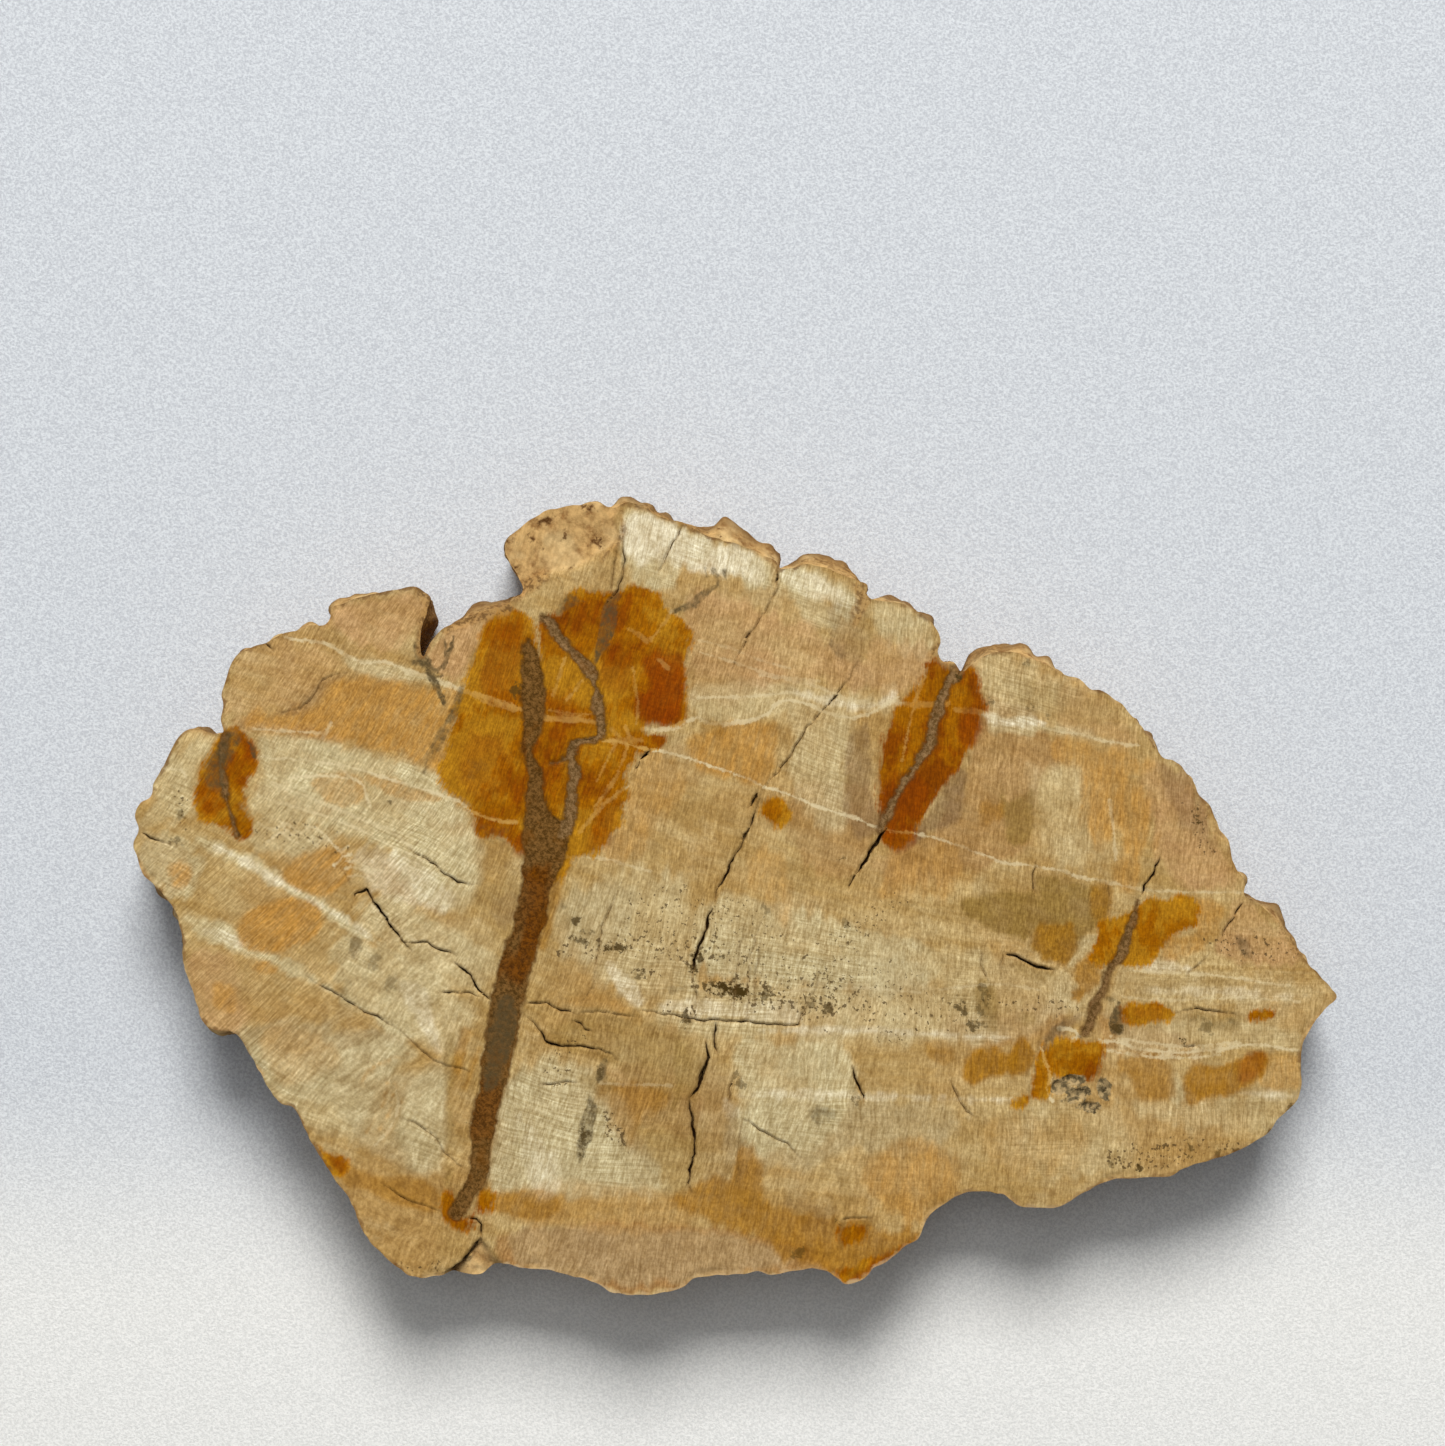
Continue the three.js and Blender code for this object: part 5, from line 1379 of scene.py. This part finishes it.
# Painted shade: a dark brown line along the edge of the recessed vein.
vein_edge_shade = times(between(vein_edge, -0.4, -0.05), between(vein_edge, 0.0, 0.35, 1.0, 0.0))
wood = mix(times(vein_edge_shade, 0.5), wood, rgb(84, 52, 16))

speck_noise = plus(noise(body_at, 1900.0, 2.0, 0.6), times(attribute("specks"), 0.13))
speck_share = times(between(attribute("specks"), 0.02, 0.2), between(speck_noise, 0.66, 0.71))
wood = mix(times(speck_share, 0.8), wood, rgb(84, 64, 36))
slate_grain = between(noise(body_at, 1500.0, 3.0, 0.65), 0.36, 0.62, 0.55, 1.0)
slate_edge = plus(attribute("slate"), wander(crumbs, -0.2, 0.15))
slate_share = times(between(slate_edge, 0.1, 0.85, 0.0, 0.95), slate_grain)
wood = mix(slate_share, wood, rgb(88, 72, 44))
spot_edge = plus(attribute("spot"), between(noise(body_at, 1300.0, 4.0, 0.7), 0.32, 0.66, -0.6, 0.35))
spot_share = times(between(spot_edge, -0.15, 0.22), attribute("spot_dark"))
wood = mix(spot_share, wood, rgb(72, 54, 20))
pocket_edge = plus(attribute("pocket"), wander(crumbs, -0.35, 0.3))
pocket_stone = mix(between(noise(body_at, 1300.0, 3.0, 0.6), 0.38, 0.6), rgb(104, 90, 62), rgb(182, 156, 110))
pocket_holes = between(noise(body_at, 620.0, 3.0, 0.6), 0.54, 0.62, 0.0, 0.8)
pocket_stone = mix(pocket_holes, pocket_stone, rgb(54, 44, 26))
wood = mix(between(pocket_edge, -0.05, 0.15), wood, pocket_stone)

crack_edge = plus(attribute("crack"), wander(grit, -0.03, 0.03))
halo = times(between(crack_edge, 0.0, 0.3, 0.3, 0.0), between(mottle, 0.3, 0.6))
wood = mix(halo, wood, rgb(112, 84, 44))
# Painted shade: the crack grooves are filled with dark brown, darker for wider and deeper cracks.
crack_shade_share = times(between(crack_edge, -0.06, 0.04, 1.0, 0.0), attribute("crack_shade"))
crack_shade_share = times(crack_shade_share, between(crumbs, 0.34, 0.48, 0.45, 1.0))
wood = mix(crack_shade_share, wood, mix(attribute("crack_shade"), rgb(96, 66, 24), rgb(44, 26, 8)))

edge_near = plus(attribute("edge"), wander(crumbs, -0.3, 0.35))
edge_share = times(between(edge_near, 0.0, 0.45, 0.75, 0.0), between(mottle, 0.38, 0.6, 0.15, 1.0))
# Along the lower edge the edge colour is pale instead of dark brown.
wood = mix(edge_share, wood, mix(attribute("pale_lower_edge"), rgb(112, 76, 42), rgb(206, 178, 134)))

rough_share = attribute("rough")
bark = mix(between(crumbs, 0.3, 0.6), rgb(140, 102, 58), rgb(198, 162, 106))
bark = mix(between(noise(body_at, 220.0, 4.0, 0.6), 0.42, 0.66), bark, rgb(204, 174, 122))
bark = mix(between(noise(body_at, 420.0, 5.0, 0.7), 0.56, 0.68), bark, rgb(92, 60, 30))
bark_streaks = noise(stretched(grain_at, 0.7, 0.9, 0.15), 1.0, 4.0, 0.6)
bark = shade(bark, bark_streaks, 0.35, 0.65, (0.90, 0.87, 0.82), (1.22, 1.20, 1.18))
# Painted shade: the bark turns dark brown further down the rim, as if less light reached its lower side.
bark = mix(between(attribute("depth"), 0.04, 0.3, 0.0, 0.7), bark, rgb(104, 70, 36))
colour = mix(rough_share, wood, bark)
crust = times(attribute("crust"), between(noise(body_at, 1500.0, 4.0, 0.65), 0.44, 0.58))
colour = mix(times(attribute("crust"), 0.6), colour, rgb(182, 138, 80))
colour = mix(times(crust, 0.7), colour, rgb(88, 58, 28))

bump = tree.nodes.new("ShaderNodeBump")
bump.inputs["Strength"].default_value = 0.4
bump.inputs["Distance"].default_value = 0.00025
relief = plus(times(crumbs, plus(0.12, times(rough_share, 1.9))), times(fine_rays, 0.12))
relief = plus(relief, times(vein_grain, between(attribute("vein"), -0.1, 0.1, 0.0, 0.8)))
relief = plus(relief, times(crumbs, between(attribute("pocket"), -0.1, 0.1, 0.0, 0.7)))
plug(bump.inputs["Height"], relief)

shader = tree.nodes.new("ShaderNodeBsdfPrincipled")
plug(shader.inputs["Base Color"], colour)
plug(shader.inputs["Roughness"], plus(0.46, times(rough_share, 0.42)))
shader.inputs["Specular IOR Level"].default_value = 0.03
plug(shader.inputs["Normal"], bump.outputs[0])
output = tree.nodes.new("ShaderNodeOutputMaterial")
plug(output.inputs["Surface"], shader.outputs[0])
mesh.materials.append(stone)
print(len(tree.nodes), "nodes in the stone")

# %% [markdown]
# The slab lies on a pale board under soft light from behind its top edge, with a wide weak fill
# from straight above. The board's colour holds painted light: whiter towards the slab's lower edge
# and beyond, greyer further up. The camera looks straight down at the face.

# %% Floor, light and camera
floor_mesh = bpy.data.meshes.new("floor")
floor_mesh.from_pydata([(-3, -3, 0), (3, -3, 0), (3, 3, 0), (-3, 3, 0)], [], [(0, 1, 2, 3)])
floor = bpy.data.objects.new("floor", floor_mesh)
bpy.context.scene.collection.objects.link(floor)
board = bpy.data.materials.new("board")
board.use_nodes = True
tree = board.node_tree
shader = tree.nodes["Principled BSDF"]
board_at = tree.nodes.new("ShaderNodeTexCoord").outputs["Object"]
stipple = noise(oblique(board_at), 2900.0, 3.0, 0.8)
split = tree.nodes.new("ShaderNodeSeparateXYZ")
plug(split.inputs[0], board_at)
# Painted light: the board and its stipple turn whiter towards the slab's lower edge and beyond.
painted_shade_share = between(split.outputs[1], -0.055, -0.02)
board_tone_and_painted_light = mix(painted_shade_share, rgb(255, 255, 251), rgb(231, 236, 240))
stipple_and_painted_light = mix(painted_shade_share, rgb(216, 217, 214), rgb(178, 182, 190))
plug(shader.inputs["Base Color"], mix(between(stipple, 0.38, 0.62, 0.0, 0.6), board_tone_and_painted_light, stipple_and_painted_light))
shader.inputs["Roughness"].default_value = 0.9
shader.inputs["Specular IOR Level"].default_value = 0.05
bump = tree.nodes.new("ShaderNodeBump")
bump.inputs["Strength"].default_value = 0.5
bump.inputs["Distance"].default_value = 0.0003
plug(bump.inputs["Height"], stipple)
plug(shader.inputs["Normal"], bump.outputs[0])
floor_mesh.materials.append(board)


def area_light(name, spot, size, power, colour):
    """A square soft light at a spot, turned to face the middle of the slab's back."""
    light = bpy.data.lights.new(name, "AREA")
    light.size, light.energy, light.color = size, power, colour
    lamp = bpy.data.objects.new(name, light)
    lamp.location = spot
    aim = -np.array(spot)
    yaw = math.atan2(aim[1], aim[0]) - math.pi / 2
    pitch = math.acos(-aim[2] / np.linalg.norm(aim))
    lamp.rotation_euler = (pitch, 0, yaw)
    bpy.context.scene.collection.objects.link(lamp)


area_light("key", spot=(0.06, 1.6, 1.72), size=1.0, power=57, colour=(1.0, 0.985, 0.97))
area_light("fill", spot=(-0.2, 0.5, 2.3), size=1.4, power=7, colour=(0.97, 0.98, 1.0))
world = bpy.data.worlds.new("room")
world.use_nodes = True
world.node_tree.nodes["Background"].inputs["Color"].default_value = (0.93, 0.96, 1.0, 1)
world.node_tree.nodes["Background"].inputs["Strength"].default_value = 0.14
bpy.context.scene.world = world

CAMERA_HEIGHT = 0.45
SENSOR = 36
PICTURE = (1445, 1446)
middle = place([(PICTURE[0] / 2, PICTURE[1] / 2)])[0]
camera_data = bpy.data.cameras.new("camera")
camera_data.sensor_fit = "VERTICAL"
camera_data.sensor_height = SENSOR
camera_data.lens = SENSOR * CAMERA_HEIGHT / (PICTURE[1] * UNIT)
camera = bpy.data.objects.new("camera", camera_data)
camera.location = (middle[0], middle[1], THICK + CAMERA_HEIGHT)
bpy.context.scene.collection.objects.link(camera)
bpy.context.scene.camera = camera
bpy.context.scene.view_settings.view_transform = "Standard"
